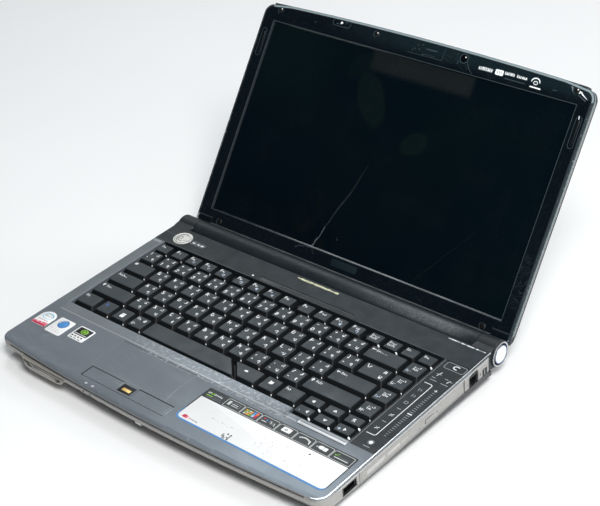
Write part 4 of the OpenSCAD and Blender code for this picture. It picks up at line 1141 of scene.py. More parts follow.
refine("screen_bezel", "lid", M["bezel_gloss"], 0.35, 3, 30)
refine("barrel_cover", "lid", M["barrel"], 0.3, 2, 30)

# ------------------------------------------------------------------ deck: ridge before the keys, trims, seams
s = Shape("ridge_strip", deck, M["ridge"])


def bar(s, x0, x1, section, m=0, end=0.4):
    """A bar along x with a (y, z) section, its ends drawn in."""
    cy = sum(p[0] for p in section) / len(section)
    cz = min(p[1] for p in section)
    rings = []
    for x, k in ((x0, 0.55), (x0 + end, 1), (x1 - end, 1), (x1, 0.55)):
        rings.append([(x, cy + (y - cy) * (0.98 if k < 1 else 1), cz + (z - cz) * k) for y, z in section])
    s.loft(rings, m)


bar(s, -159.3, 86.6, [(-78.7, -0.05), (-67.5, -0.05), (-67.6, 0.1), (-69, 0.16), (-76.6, 0.34), (-77.8, 0.44), (-78.3, 0.3)])
bar(s, 86.2, 99.6, [(-78.7, -0.05), (-73.1, -0.05), (-73.2, 0.12), (-76.6, 0.34), (-77.8, 0.44), (-78.3, 0.3)])
s.make("base", (), 40)
s = Shape("ribbed_trim", deck, M["trim_bright"], M["trim_shadow"], M["trim_plate"])
bar(s, 100.6, 146.0, [(-79.0, -0.05), (-73.3, -0.05), (-73.5, 0.1), (-78.7, 0.1)], 2)
bar(s, 101.2, 146.0, [(-78.2, 0.05), (-76.2, 0.05), (-76.4, 0.44), (-76.8, 0.54), (-77.6, 0.54), (-78.0, 0.44)])
bar(s, 101.2, 102.6, [(-78.5, 0.05), (-75.7, 0.05), (-75.9, 0.5), (-78.3, 0.5)])
bar(s, 144.7, 146.1, [(-78.5, 0.05), (-75.7, 0.05), (-75.9, 0.5), (-78.3, 0.5)])
s.ribbon([(101.4, -78.8), (145.9, -78.8)], 0.6, -0.05, 0.14, 1)
s.ribbon([(101.8, -75.6), (145.6, -75.6)], 0.35, -0.05, 0.14, 1)
for k in range(27):                                      # fine cuts across the rod
    s.ribbon([(103.4 + k * 1.55, -77.9), (103.8 + k * 1.55, -77.2)], 0.22, 0.3, 0.56, 1)
s.make("base", (), 40)
# the left margin and the dark strip between the keys and the touch strip
s = Shape("margin_left", deck, M["margin"], M["seam_deck"])
s.loft([[(-169.6, -68.2, -0.05), (-160.2, -68.2, -0.05), (-160.2, 43.9, -0.05), (-169.6, 43.9, -0.05)], [(-169.6, -68.2, 0.05), (-160.2, -68.2, 0.05), (-160.2, 43.9, 0.05), (-169.6, 43.9, 0.05)],
        [(-169.3, -67.9, 0.1), (-160.5, -67.9, 0.1), (-160.5, 43.6, 0.1), (-169.3, 43.6, 0.1)]], 0)
s.ribbon([(-159.7, -67.9), (-159.7, 43.9)], 0.35, -0.05, 0.12, 1)
s.plate(rounded([(-168.9, 40.2), (-160.9, 41.0), (-160.7, 43.7), (-169.2, 43.7)], 0.3, 2), 0.0, 0.16, 1, 0.03)
s.make("base", (), 30)
s = Shape("margin_right", deck, M["key_gap"], M["seam_deck"])
s.prism([(145.3, -73.2), (147.15, -73.2), (147.15, 44.3), (145.3, 44.3)], -0.2, 0.04, 0)
s.ribbon([(146.9, -73.0), (146.9, 44.2)], 0.3, -0.05, 0.07, 1)
s.make("base", (), 40)
# pale metal line along the right edge of the deck, widening round its front corner as a painted highlight, dark seams
# beside it
rim = [(169.95, 70.0), (169.95, -60.0), (169.95, -124.0)] + ring(159.5, -124.4, 10.45, 9, 0, -math.pi * 0.44)
s = Shape("edge_trim_right", deck, M["silver_trim"], M["socket_black"])
# the widening part round the corner is a painted highlight of the rounded corner
s.ribbon(rim, 0.85, -0.35, 0.09, 0, False, [1, 1, 1.05, 1.15, 1.3, 1.4, 1.5, 1.4, 1.2, 0.9, 0.5, 0.2])
s.ribbon([(169.15, 69.6), (169.15, -73.8)], 0.85, -0.3, 0.05, 1)
s.make("base", (), 40)
s = Shape("deck_seams", deck, M["socket_black"], M["seam_deck"], M["seam_soft"])
s.ribbon([(-76.4, -117.9), (-76.6, -130.4), (13.5, -130.5)], 0.55, -0.4, 0.035, 0)
s.ribbon([(-76.2, -117.8), (-40.4, -117.9)], 0.5, -0.4, 0.035, 0)
s.ribbon([(-23.6, -117.7), (13.6, -117.8)], 0.7, -0.4, 0.04, 0)
s.ribbon([(13.9, -118.2), (13.9, -129.6)], 0.35, -0.3, 0.03, 1)
s.ribbon([(11.4, -119.6), (11.4, -128.8)], 0.25, -0.12, 0.0, 1)
# the pad's rubbed outline
s.ribbon([(-80.1, -115.9), (-80.1, -80.2)], 0.5, -0.5, 0.02, 2)
s.ribbon([(0.1, -80.4), (0.1, -115.9)], 0.5, -0.5, 0.02, 2)
s.ribbon([(-79.8, -116.2), (-0.2, -116.2)], 0.5, -0.5, -0.02, 2)
s.ribbon([(2.6, -116.6), (1.4, -108.4)], 0.5, -0.02, 0.025, 1, False, [0.3, 1])
s.ribbon([(1.2, -106.8), (-0.4, -97.2)], 0.4, -0.02, 0.025, 1, False, [1, 0.3])
s.make("base", (), 40)

# ------------------------------------------------------------------ stickers and the big label
C = {}


def tint(name, c, **kw):
    if name not in C:
        C[name] = ink("print_" + name + "_mat", c, **kw)
    return C[name]


film = [M["label_film"], tint("red", (196, 40, 74)), tint("sky", (150, 196, 222)), tint("navy", (24, 44, 88)), tint("amber", (236, 176, 60)),
        tint("leaf", (132, 190, 52)), tint("black", (18, 19, 20)), tint("grey", (116, 120, 122)), tint("head", (58, 62, 64)),
        tint("blue", (70, 140, 204)), tint("orange", (226, 110, 60)), tint("pale", (206, 210, 208)), tint("teal", (60, 150, 176)), tint("pink", (224, 120, 140))]
WHITE, RED, SKY, NAVY, AMBER, LEAF, BLACK, GREY, HEAD, BLUE, ORANGE, PALE, TEAL, PINK = range(14)
s = Shape("deck_label_films", deck, *film)
Z = 0.17
# badge 1: arched top over a red foot
arch = [(-166, -104.2), (-165.2, -105), (-150.8, -105), (-150, -104.2)] + ring(-158, -93.2, 8, 14, 0, math.pi, 7.2)
s.plate(arch, 0.02, Z, WHITE, 0.05)
s.plate(rounded([(-165.9, -104.8), (-150.1, -104.8), (-150.1, -99.4), (-165.9, -101.6)], 0.6, 2), Z - 0.02, Z + 0.03, PINK, 0.02)
s.plate(rounded([(-165.9, -104.8), (-150.1, -104.8), (-150.1, -102.2), (-165.9, -103.0)], 0.4, 2), Z - 0.01, Z + 0.038, RED, 0.01)
for k in range(5):
    s.ribbon([(-163.4 + k * 2.1, -101.9 + k * 0.28), (-162.2 + k * 2.1, -101.75 + k * 0.28)], 0.7, Z, Z + 0.045, WHITE if k % 2 else RED)
s.ribbon(ring(-158, -92.4, 5.6, 20, 0, 2 * math.pi, 3.7), 0.75, Z - 0.02, Z + 0.03, SKY, True)
s.ribbon(ring(-157.4, -92.2, 4.4, 12, 0.3, 3.6, 2.6), 0.5, Z - 0.02, Z + 0.035, TEAL)
for i, (a, b) in enumerate(((-161.2, -159.6), (-159, -157.6), (-157, -155.2), (-154.6, -153.6))):
    s.ribbon([(a, -92.8), (b, -91.8 - 0.2 * (i % 2))], 0.6, Z - 0.02, Z + 0.03, GREY)
for i in range(4):
    s.ribbon([(-163 + i * 2.8, -98.2), (-161.2 + i * 2.8, -98.2)], 0.6, Z - 0.02, Z + 0.03, GREY if i % 2 else RED)
# badge 2: white with a round emblem of plain coloured sectors
s.plate(rect(-147.5, -130, -107, -86.5, 1.8, 5), 0.02, Z, WHITE, 0.05)
cx, cy, R = -138.6, -93.2, 5.2
s.plate(ring(cx, cy, R, 28), Z - 0.02, Z + 0.03, BLUE, 0.02)
s.ribbon(ring(cx, cy, R - 0.3, 28), 0.45, Z - 0.01, Z + 0.04, NAVY, True)
s.ribbon(ring(cx - 0.4, cy + 0.5, R - 1.4, 12, 1.6, 3.4), 0.7, Z - 0.01, Z + 0.042, PALE)
for i, n in enumerate((3, 4)):
    for k in range(n):
        s.ribbon([(-145 + k * 3.4, -101.2 - i * 2.4), (-143 + k * 3.4, -101.2 - i * 2.4)], 0.45, Z - 0.02, Z + 0.025, PINK if (i + k) % 3 == 0 else PALE)
# badge 3: a dark square with a green lens shape in a white frame
s.plate(rect(-124.5, -107, -102.5, -85.6, 1.5, 4), 0.02, Z, WHITE, 0.05)
s.plate(rect(-123.2, -108.4, -96.4, -86.8, 0.7, 3), Z - 0.02, Z + 0.03, BLACK, 0.02)
s.plate(ring(-115.4, -90.8, 3.8, 18, 0, 2 * math.pi, 2.9), Z, Z + 0.05, LEAF, 0.02)
s.ribbon(ring(-115.4, -90.9, 2.1, 14, 0, 2 * math.pi, 1.5), 0.6, Z, Z + 0.065, BLACK, True)
s.ribbon([(-122.4, -95), (-109.4, -95)], 0.8, Z, Z + 0.05, PALE)
for k in range(4):
    s.prism(rect(-122.9 + k * 3.5, -120.9 + k * 3.5, -99.2, -97.8), Z - 0.02, Z + 0.03, BLACK)
for k in range(3):
    s.prism(rect(-122.4 + k * 4.4, -119.6 + k * 4.4, -101.6, -100.6), Z - 0.02, Z + 0.025, GREY)
# the big label: dark header with boxed marks over a white field edged in blue
s.plate(rounded([(20, -125.2), (164.4, -125.2), (164.4, -84.5), (20, -84.5)], [5, 5, 1.5, 1.5], 6), 0.02, 0.12, HEAD, 0.04)
s.plate(rounded([(21.3, -123.9), (163.6, -123.9), (163.6, -95.8), (21.3, -95.8)], [4.2, 4.2, 0.2, 0.2], 6), 0.08, Z, WHITE, 0.03)
s.ribbon([(20.5, -112.0)] + ring(25.5, -119.7, 5.0, 7, math.pi, math.pi * 1.5) + ring(158.9, -119.7, 5.0, 7, -math.pi / 2, -0.15), 1.35, 0.03, Z - 0.02, BLUE, False,
         [0.2, 0.8] + [1] * 11 + [0.7, 0.1])
s.plate(rounded([(20.2, -96), (164.2, -96), (164.2, -84.7), (20.2, -84.7)], [0.2, 0.2, 1.4, 1.4], 4), 0.08, Z + 0.01, HEAD, 0.03)
s.ribbon([(20.6, -95.9), (163.8, -95.9)], 0.5, 0.1, Z + 0.03, BLACK)
q = random.Random(31)
H = Z + 0.035
for k in range(9):                                        # first block: plain marks
    s.prism(rect(22.8 + k * 1.6, 23.8 + k * 1.6, -90.6 + q.random() * 1.0, -88.9 + q.random() * 0.7), Z, H, LEAF if 1 < k < 4 else PALE)
s.ribbon([(23.4, -92.4), (29.0, -92.4)], 0.9, Z, H, LEAF)
s.ribbon([(30.6, -92.5), (37.6, -92.5)], 0.5, Z, H, GREY)
s.ribbon([(24, -94.2), (39, -94.2)], 0.5, Z, H, GREY)
boxes = [41.4, 58.6, 75.8, 93.0, 110.2, 127.4, 144.6]
for n, x0 in enumerate(boxes):
    w = 16.4 if n < 6 else 18.2
    s.ribbon(rounded([(x0, -95.2), (x0 + w, -95.2), (x0 + w, -86), (x0, -86)], [0.3, 0.3, 1.6, 1.6], 3), 0.42, Z, Z + 0.04, PALE, True)
    if n == 0:
        s.prism(rect(x0 + 2.2, x0 + 4.6, -92.4, -87.8), Z, H, PALE)
        s.ribbon([(x0 + 6.4, -88.2), (x0 + 13.6, -88.2), (x0 + 13.6, -92.6)], 0.6, Z, H, GREY)
        s.ribbon([(x0 + 6.2, -90.0), (x0 + 11.8, -90.0)], 0.7, Z, H, PALE)
        s.ribbon([(x0 + 6.2, -91.8), (x0 + 12.4, -91.8)], 0.6, Z, H, PALE)
    elif n == 1:
        for r in range(3):
            for k in range(4):
                s.prism(rect(x0 + 2.0 + k * 1.8, x0 + 3.5 + k * 1.8, -89.4 - r * 1.9, -88.0 - r * 1.9), Z, H, (AMBER, LEAF, PALE, AMBER)[(k + r) % 4])
        s.prism(rect(x0 + 9.6, x0 + 11.8, -90.2, -87.2), Z, H, BLUE)
        s.prism(rect(x0 + 12.0, x0 + 14.2, -90.0, -87.0), Z, H, ORANGE)
        s.prism(rect(x0 + 9.6, x0 + 11.8, -93.2, -90.4), Z, H, SKY)
        s.prism(rect(x0 + 12.0, x0 + 14.2, -93.0, -90.2), Z, H, RED)
    elif n == 2:
        s.plate(ring(x0 + 3.4, -88.6, 0.9, 8), Z, H, RED, 0.01)
        s.plate(ring(x0 + 6.0, -89.2, 0.8, 8), Z, H, BLUE, 0.01)
        s.ribbon([(x0 + 2.4, -91.4), (x0 + 6.4, -91.4)], 0.8, Z, H, PALE)
        for k in range(4):
            s.ribbon([(x0 + 8.2 + k * 1.7, -88.2 - k * 0.4), (x0 + 9.2 + k * 1.7, -90.8 - k * 0.4)], 0.7, Z, H, PALE if k % 2 else GREY)
    elif n == 3:
        s.prism(rect(x0 + 4.0, x0 + 12.2, -92.0, -87.2, 0.6, 2), Z, H, WHITE)
        s.plate(ring(x0 + 7.4, -89.6, 1.5, 10, 0, 2 * math.pi, 1.1), Z, Z + 0.05, GREY, 0.01)
        s.plate(ring(x0 + 7.4, -89.6, 0.7, 8, 0, 2 * math.pi, 0.5), Z, Z + 0.06, WHITE, 0.01)
        s.plate(ring(x0 + 11.0, -88.2, 0.5, 7), Z, Z + 0.05, RED, 0.01)
    elif n == 4:
        for k in range(6):
            a0 = 2.4 - k * 0.32
            s.ribbon([(x0 + 8.2 + 6.0 * math.cos(a0), -93.2 + 4.6 * math.sin(a0)), (x0 + 8.2 + 6.0 * math.cos(a0 - 0.2), -93.2 + 4.6 * math.sin(a0 - 0.2))], 1.2, Z, H, PALE)
        s.ribbon([(x0 + 13.4, -89.6), (x0 + 13.8, -92.6)], 0.8, Z, H, WHITE)
    elif n == 5:
        s.plate(ring(x0 + 7.2, -90.0, 3.0, 12, 0, 2 * math.pi, 1.9), Z, Z + 0.04, WHITE, 0.02)
        s.plate(rect(x0 + 8.6, x0 + 12.4, -92.0, -88.4, 0.8, 3), Z, Z + 0.04, WHITE, 0.02)
        s.plate(ring(x0 + 3.4, -90.6, 0.6, 8), Z, Z + 0.04, WHITE, 0.02)
    else:
        s.ribbon([(x0 + 2.2, -89.6), (x0 + 3.2, -90.4), (x0 + 5.4, -88.2)], 0.6, Z, H, LEAF)
        s.ribbon([(x0 + 3.2, -92.2), (x0 + 15.0, -92.2)], 0.8, Z, H, PALE)
        for k in range(5):
            s.ribbon([(x0 + 5.8 + k * 2.0, -90.4), (x0 + 6.8 + k * 2.0, -90.4)], 0.5, Z, H, GREY)
    if n not in (5, 6):
        for k in range(5):
            u = x0 + 2.6 + k * 2.5
            s.ribbon([(u, -94.2), (u + 1.4, -94.2)], 0.4, Z, H, GREY)
# marks on the white field
s.prism(rounded([(25.2, -122), (28.4, -122.4), (29.8, -120.6), (28.2, -118.6), (25.6, -119.4)], 0.5, 2), Z - 0.01, Z + 0.02, RED)
s.prism(rect(29.0, 30.6, -122.4, -119.4), Z - 0.01, Z + 0.022, PINK)
for k in range(5):
    s.prism(rect(31.6 + k * 1.9, 32.8 + k * 1.9, -121.4 + 0.3 * (k % 2) - 0.1 * k, -120.3 - 0.1 * k), Z - 0.01, Z + 0.02, RED if k == 0 else GREY)
for k in range(7):
    s.ribbon([(46 + k * 3.2, -110.6 - (k % 3) * 0.6), (47.6 + k * 3.2, -110.6 - (k % 3) * 0.6)], 0.4, Z - 0.01, Z + 0.018, TEAL if k % 3 == 0 else PALE)
for a in range(5):                                        # a square patch of small dark blocks
    for b in range(4):
        if q.random() < 0.72:
            s.prism(rect(65.0 + a * 1.5, 66.35 + a * 1.5, -123.6 + b * 1.7, -122.1 + b * 1.7), Z - 0.01, Z + 0.022, GREY if q.random() < 0.4 else HEAD)
for r in range(6):
    for k in range(12):
        if q.random() < 0.7:
            u = 88 + k * 4.1 + r * 0.8
            v = -103.6 - r * 2.5
            s.ribbon([(u, v), (u + 0.8 + q.random() * 2.0, v)], 0.34, Z - 0.01, Z + 0.016, GREY if q.random() < 0.35 else PALE)
s.plate(rounded([(130.2, -100.9), (132.9, -101.2), (132.7, -99.2)], 0.4, 2), Z - 0.01, Z + 0.02, BLACK, 0.01)
for u, v in ((150.2, -110.8), (143, -117.4), (104, -118.6), (156.4, -103.2)):
    s.plate(ring(u, v, 0.28, 6), Z - 0.01, Z + 0.02, HEAD, 0.01)
s.make("base", ("deck_labels",), 40)

# ------------------------------------------------------------------ fingerprint reader
s = Shape("fingerprint_reader_skin", deck, M["socket_black"], M["gold"], M["black_plastic"])
s.plate(rect(-38.8, -25.2, -128.2, -119.4, 0.7, 4), -2.6, -0.46, 2, 0.15)
s.plate(rect(-37.9, -26.1, -127.4, -120.2, 0.5, 3), -0.5, -0.4, 0, 0.04)
s.plate(rect(-36.2, -27.6, -125.6, -122.6, 0.3, 3), -0.45, -0.24, 1, 0.08)
s.plate(rect(-33.4, -31.8, -121.4, -120.6, 0.2, 2), -0.45, -0.34, 0, 0.04)
s.make("base", ("fingerprint_reader",), 40)

# small status windows on the front slope
s = Shape("status_icons", deck, M["print_white"], M["print_grey"])
for x in (-64.9, -57.3):
    y = -136.2
    zz = -0.0
    s.ribbon([(x - 0.9, y - 0.4), (x + 0.9, y - 0.4), (x + 0.9, y + 0.9), (x - 0.9, y + 0.9)], 0.32, zz - 0.02, zz + 0.03, 0, True)
    s.ribbon([(x - 0.3, y + 0.25), (x + 0.4, y + 0.25)], 0.4, zz - 0.02, zz + 0.03, 1)
s.make("base", (), 40)

# ------------------------------------------------------------------ hinge cover: launch button, bars of print
s = Shape("launch_button_skin", deck, M["button_white"], M["button_dark"], M["print_white"])
s.revolve(-148, 57.3, [(5, -3.6), (5, -2.6), (8.95, -2.6), (9.0, 0.1), (8.8, 0.3), (8.3, 0.38), (7.8, 0.3), (7.5, 0.24), (4.8, 0.34), (2.5, 0.4), (0, 0.42)], 48)
# plain moulded rings and rays, like a dial
s.ribbon(ring(-148, 57.3, 7.5, 30, 3.3, 6.9), 0.5, 0.2, 0.4, 1, False, [0.3, 1, 1, 1, 0.3])
s.ribbon(ring(-148, 57.3, 5.9, 26, 0.9, 4.4), 0.8, 0.2, 0.46, 1, False, [0.3, 1, 1, 0.6, 1, 0.3])
s.ribbon(ring(-148, 57.3, 4.4, 22, 2.4, 6.0), 0.6, 0.24, 0.48, 1, False, [0.3, 0.8, 1, 0.8, 0.3])
s.ribbon(ring(-148, 57.3, 8.2, 30, 0.6, 2.6), 0.5, 0.2, 0.44, 2, False, [0.3, 1, 1, 0.3])
s.plate(ring(-149.6, 58.6, 1.2, 14, 0, 2 * math.pi, 0.8), 0.3, 0.47, 1, 0.05)
s.ribbon([(-146.4, 54.6), (-144.2, 52.2)], 1.1, 0.2, 0.46, 2)
for k in range(3):
    s.ribbon([(-152 + k * 1.7, 55.8 - k * 0.2), (-151 + k * 1.7, 56.4)], 0.45, 0.28, 0.45, 1)
s.make("launch_button", ("launch_button",), 40, True)
s = Shape("hinge_cover_print", deck, M["print_grey"], M["print_white"], M["print_cream"])
s.ribbon(rect(-138.2, -121.4, 55.2, 59.4, 2.0, 6), 0.3, -0.02, 0.02, 0, True)
for u, w, m in ((-135.4, 2.2, 1), (-131.6, 0.9, 0), (-129.4, 1.6, 1), (-125.6, 2.4, 1)):
    s.ribbon([(u, 57.2), (u + w, 57.2)], 1.5 if w > 1 else 0.8, -0.02, 0.03, m)
q = random.Random(5)
u = -21.4
while u < 21.4:                                          # a row of plain ticks where words were
    w = 0.5 + q.random() * 0.8
    y = 66.9 + (q.random() - 0.5) * 0.3
    s.ribbon([(u, y), (u + w, y)], 2.2 if q.random() < 0.5 else 1.1, -0.02, 0.03, 2)
    u += w + 0.45
    if -7.4 < u < -6.0 or 6.8 < u < 8.2:
        u += 1.6
u = 132.5
while u < 166:
    w = 0.7 + q.random() * 1.2
    s.ribbon([(u, 68.1), (u + w, 68.1)], 1.15 if q.random() < 0.6 else 0.7, -0.02, 0.04, 1 if q.random() < 0.6 else 0)
    u += w + 0.5
s.make("base", (), 40)
# hairline seams of the cover, left of the button and along its front edge; a painted glint by the tab and painted shade
# in the creases before the hinge caps
s = Shape("hinge_cover_seams", deck, M["seam_pale"], M["socket_black"], M["chip_pale"])
s.ribbon([(-170.2, 58.6), (-158.2, 58.2)], 0.35, -0.02, 0.025, 0)
s.ribbon([(-169.8, 45.6), (-152, 45.5), (-60, 45.45)], 0.3, -0.02, 0.02, 0)
s.ribbon([(60, 45.45), (140, 45.5)], 0.3, -0.02, 0.02, 0)
s.ribbon([(-53.6, 45.2), (-49.4, 51.0), (51.0, 51.0), (57.8, 45.2)], 0.8, -0.52, 0.03, 1)
s.ribbon([(-51.2, 46.8), (-48.4, 49.8), (49.8, 49.8), (55.0, 46.8)], 0.5, -0.05, 0.03, 0, False, [1, 1, 0.6, 0.4])
s.ribbon([(-52.6, 45.5), (57.0, 45.5)], 1.6, -0.05, 0.025, 1)
s.ribbon([(-47.4, 46.5), (-20, 46.4), (54.4, 46.5)], 0.4, -0.05, 0.03, 0, False, [1, 0.8, 0.4])
s.ribbon([(-46.4, 48.2), (-24, 48.0)], 1.2, -0.05, 0.03, 0, False, [0.8, 0.2])
# painted glint: a bright dot by the tab
s.plate(ring(-56.2, 48.2, 1.1, 12, 0, 2 * math.pi, 0.8), -0.02, 0.1, 2, 0.03)
# painted shade: black lines in the creases where the deck meets the hinge caps
s.ribbon([(-170.0, 70.3), (-152.6, 70.3)], 0.9, -0.4, 0.02, 1)
s.ribbon([(152.6, 70.3), (168.6, 70.3)], 0.7, -0.4, 0.02, 1)
s.make("base", (), 40)

# ------------------------------------------------------------------ media strip: marks for the touch keys
s = Shape("media_strip_print", deck, M["print_grey"], M["print_white"], M["seam_pale"])
a, b = -0.07, -0.025
s.ribbon(rect(150.2, 168.0, 35.6, 43.4, 1.6, 5), 0.4, a, b, 0, True)
s.ribbon(ring(160.0, 39.8, 2.6, 16, 0.9, 5.0, 1.9), 0.9, a, b, 1)
for x0, x1, y in ((150.8, 156.4, 18.2), (160.6, 166.8, 18.0), (151.2, 155.2, 26.6), (150.4, 153.4, 21.2), (160.2, 163.0, 24.4), (164.4, 167.6, 23.2)):
    s.ribbon([(x0, y), (x1, y)], 0.6, a, b, 0)
for x, y0, y1 in ((152.6, 24.4, 29.4), (164.0, 20.8, 24.0)):
    s.ribbon([(x, y0), (x + 1.4, y1)], 0.6, a, b, 1)
br = [(149.8, 12.8), (154.6, 12.8)] + ring(155.4, 11.0, 1.9, 5, math.pi / 2, 0) + ring(155.4, -55.6, 1.9, 5, 0, -math.pi / 2) + [(154.6, -57.5), (149.8, -57.5)]
s.ribbon(br, 0.62, a, b, 1)
for y, kind in ((3.2, "line"), (-5.2, "line"), (-14.6, "square"), (-23.4, "bar"), (-32.2, "cross"), (-41.0, "bar"), (-49.6, "cross")):
    if kind == "square":
        s.ribbon(rect(151.5, 154.1, y - 1.3, y + 1.3), 0.42, a, b, 0, True)
    elif kind == "line":
        s.ribbon([(151.6, y - 1.4), (151.6, y + 1.4)], 0.5, a, b, 0)
        s.ribbon([(153.2, y + 1.2), (154.2, y), (153.2, y - 1.2)], 0.42, a, b, 0)
    elif kind == "bar":
        s.ribbon([(151.2, y), (154.4, y)], 0.6, a, b, 0)
    else:
        s.ribbon([(151.4, y - 1.2), (154.2, y + 1.2)], 0.6, a, b, 1)
        s.ribbon([(151.4, y + 1.2), (154.2, y - 1.2)], 0.5, a, b, 0)
for k in range(25):
    y = 5.2 - k * 2.44
    mid = k == 12
    w = 1.5 + 1.8 * (1 - abs(k - 12) / 12)
    s.ribbon([(163.2 - w * 0.5, y), (163.2 + w * 0.5, y)], 1.1 if mid else 0.44, a, b, 1 if mid else 0)
s.ribbon([(162.0, 8.4), (164.4, 8.4)], 0.5, a, b, 1)
s.ribbon([(163.2, 7.2), (163.2, 9.6)], 0.5, a, b, 1)
s.plate(ring(159.4, -65.0, 1.7, 14), a, b, 1, 0.01)
s.ribbon(ring(159.4, -65.0, 2.4, 14), 0.25, a, b, 0, True)
s.ribbon([(156.6, -70.2), (161.8, -70.2)], 0.6, a, b, 0)
s.make("base", (), 40)

# dark seams where the hinge caps meet the barrel
s = Shape("hinge_cap_seams", side_right(0), M["socket_black"], M["seam_pale"])
for x0, x1 in ((-153.1, -152.2), (152.2, 153.1)):
    s.ribbon(ring(82.5, -8.5, 11.06, 48), 0.3, x0, x1, 0, True)
s.make("base", (), 40)

# ------------------------------------------------------------------ hinge end: ring and power button
s = Shape("power_button_ring_skin", side_right(0), M["barrel_cap"], M["silver_plastic"], M["socket_black"])
s.revolve(82.5, -8.5, [(10.95, 167.2), (11.0, 168.0), (11.0, 170.2), (10.75, 170.75), (10.4, 171.0), (10.2, 171.15), (9.6, 171.2), (9.4, 171.1), (9.2, 170.8),
                       (8.45, 169.9), (8.1, 169.4), (8.1, 167.2)], 56, 0, False, [0, 0, 0, 0, 1, 1, 1, 1, 2, 2, 2])
s.make("base", ("power_button_ring",), 40, True)
s = Shape("power_button_skin", side_right(0), M["lit_plastic"], M["button_blue"], M["silver_plastic"])
s.revolve(82.5, -8.5, [(4, 164.4), (4, 167.4), (7.68, 167.4), (7.7, 171.1), (7.5, 171.35), (7.1, 171.42), (6.9, 171.36), (6.6, 171.4), (4, 171.5), (2, 171.56), (0, 171.58)], 48, 0, True,
          [2, 2, 2, 2, 1, 1, 0, 0, 0, 0])
s.make("power_button", ("power_button",), 40, True)

# ------------------------------------------------------------------ right flank: seams, sockets, drive marks
s = Shape("flank_right_marks", side_right(170.5), M["socket_black"], M["case_rub"], M["silver_trim"])
s.ribbon([(-92.6, -13.9), (-92.6, -3.4)], 0.42, -0.04, 0.03, 0)
s.ribbon([(-95.2, -12.8), (-95.2, -11.6)], 0.5, -0.04, 0.03, 0)
s.plate(ring(-94.9, -9.6, 0.34, 8), -0.02, 0.03, 0, 0.01)
s.ribbon([(39.0, -12.6), (39.0, -9.8)], 0.4, -0.02, 0.03, 0)
s.ribbon([(-120, -1.75), (-60, -1.7), (0, -1.7), (66.5, -1.8)], 0.5, -0.3, 0.03, 0)
s.ribbon([(-120, -2.75), (0, -2.7), (66.5, -2.8)], 0.7, -0.05, 0.035, 2)
s.ribbon([(58.6, -14.8), (58.4, -9.8), (59.4, -8.8), (60.8, -8.9), (61.6, -10), (61.6, -14.6)], 0.6, -0.3, 0.03, 0)
s.ribbon([(34.2, -15.2), (34.2, -3.2)], 0.9, -0.2, 0.04, 0)
s.ribbon([(53.2, -13.6), (53.2, -7.0)], 0.35, -0.04, 0.03, 0)
s.prism(rounded([(41.2, -6.4), (51.7, -6.4), (51.7, -3.6), (44.4, -3.9), (41.2, -4.8)], 0.4, 2), -0.4, 0.035, 0)
s.prism(rounded([(58.7, -14.6), (61.3, -14.6), (61.3, -9.2), (58.7, -9.2)], 0.9, 3), -0.3, 0.032, 0)
s.ribbon([(61.2, -14.2), (61.2, -9.6)], 0.5, 0.0, 0.06, 2)
s.ribbon([(55.4, -12.0), (55.4, -10.2)], 0.9, -0.04, 0.03, 0)
s.make("base", (), 40)
s = Shape("drive_front_marks", side_right(170.4), M["case_rub"], M["socket_black"])
s.ribbon([(-5.0, -8.6), (-15.2, -8.6), (-15.5, -11.4), (-12.6, -11.5)], 0.45, -0.03, 0.05, 1)
s.plate(ring(-0.6, -9.4, 0.55, 10), -0.02, 0.04, 1, 0.01)
s.plate(ring(-22.0, -11.2, 0.45, 10), -0.02, 0.04, 1, 0.01)
# a blank raised patch and a few level ribs
s.plate(rounded([(-84.5, -11.2), (-66, -11.2), (-62, -7.6), (-84.5, -7.6)], 0.6, 3), -0.02, 0.09, 0, 0.05)
s.plate(rounded([(-60.5, -10.6), (-46, -10.6), (-46, -8.0), (-60.5, -8.0)], 0.5, 3), -0.02, 0.08, 0, 0.05)
s.ribbon([(-43.6, -9.4), (-36.4, -9.4)], 1.0, -0.02, 0.07, 0)
s.make("disc_tray", (), 40)
# socket rims
s = Shape("socket_rims_right", side_right(170.5), M["socket_black"])
for y0, y1, z0, z1 in ((-111.2, -96.4, -11.6, -5.0), (40.9, 51.9, -15.2, -6.0)):
    s.ribbon([(y0, z0), (y1, z0), (y1, z1), (y0, z1)], 0.9, -0.8, 0.04, 0, True)
s.prism([(61.25, -15.0), (64.4, -15.6), (64.4, -8.8), (61.25, -8.9)], -0.3, 0.05, 0)      # dark patch beside the lock slot
s.ribbon([(58.6, -14.9), (61.3, -14.9)], 0.6, -0.3, 0.05, 0)
s.ribbon([(58.6, -9.2), (61.3, -9.2)], 0.6, -0.3, 0.05, 0)
s.make("base", (), 40)
s = Shape("socket_rims_left", side_left(-170.5), M["socket_black"])
for y0, y1, z0, z1 in ((10.2, 23.8, -12.4, -6.2), (28.8, 45.2, -15.6, -6.2), (-7.6, 8.8, -10.8, -5.1)):
    s.ribbon([(y0, z0), (y1, z0), (y1, z1), (y0, z1)], 0.45, -0.8, 0.04, 0, True)
s.ribbon(ring(-60, -9, 3.7, 20), 0.4, -0.8, 0.04, 0, True)
s.make("base", (), 40)


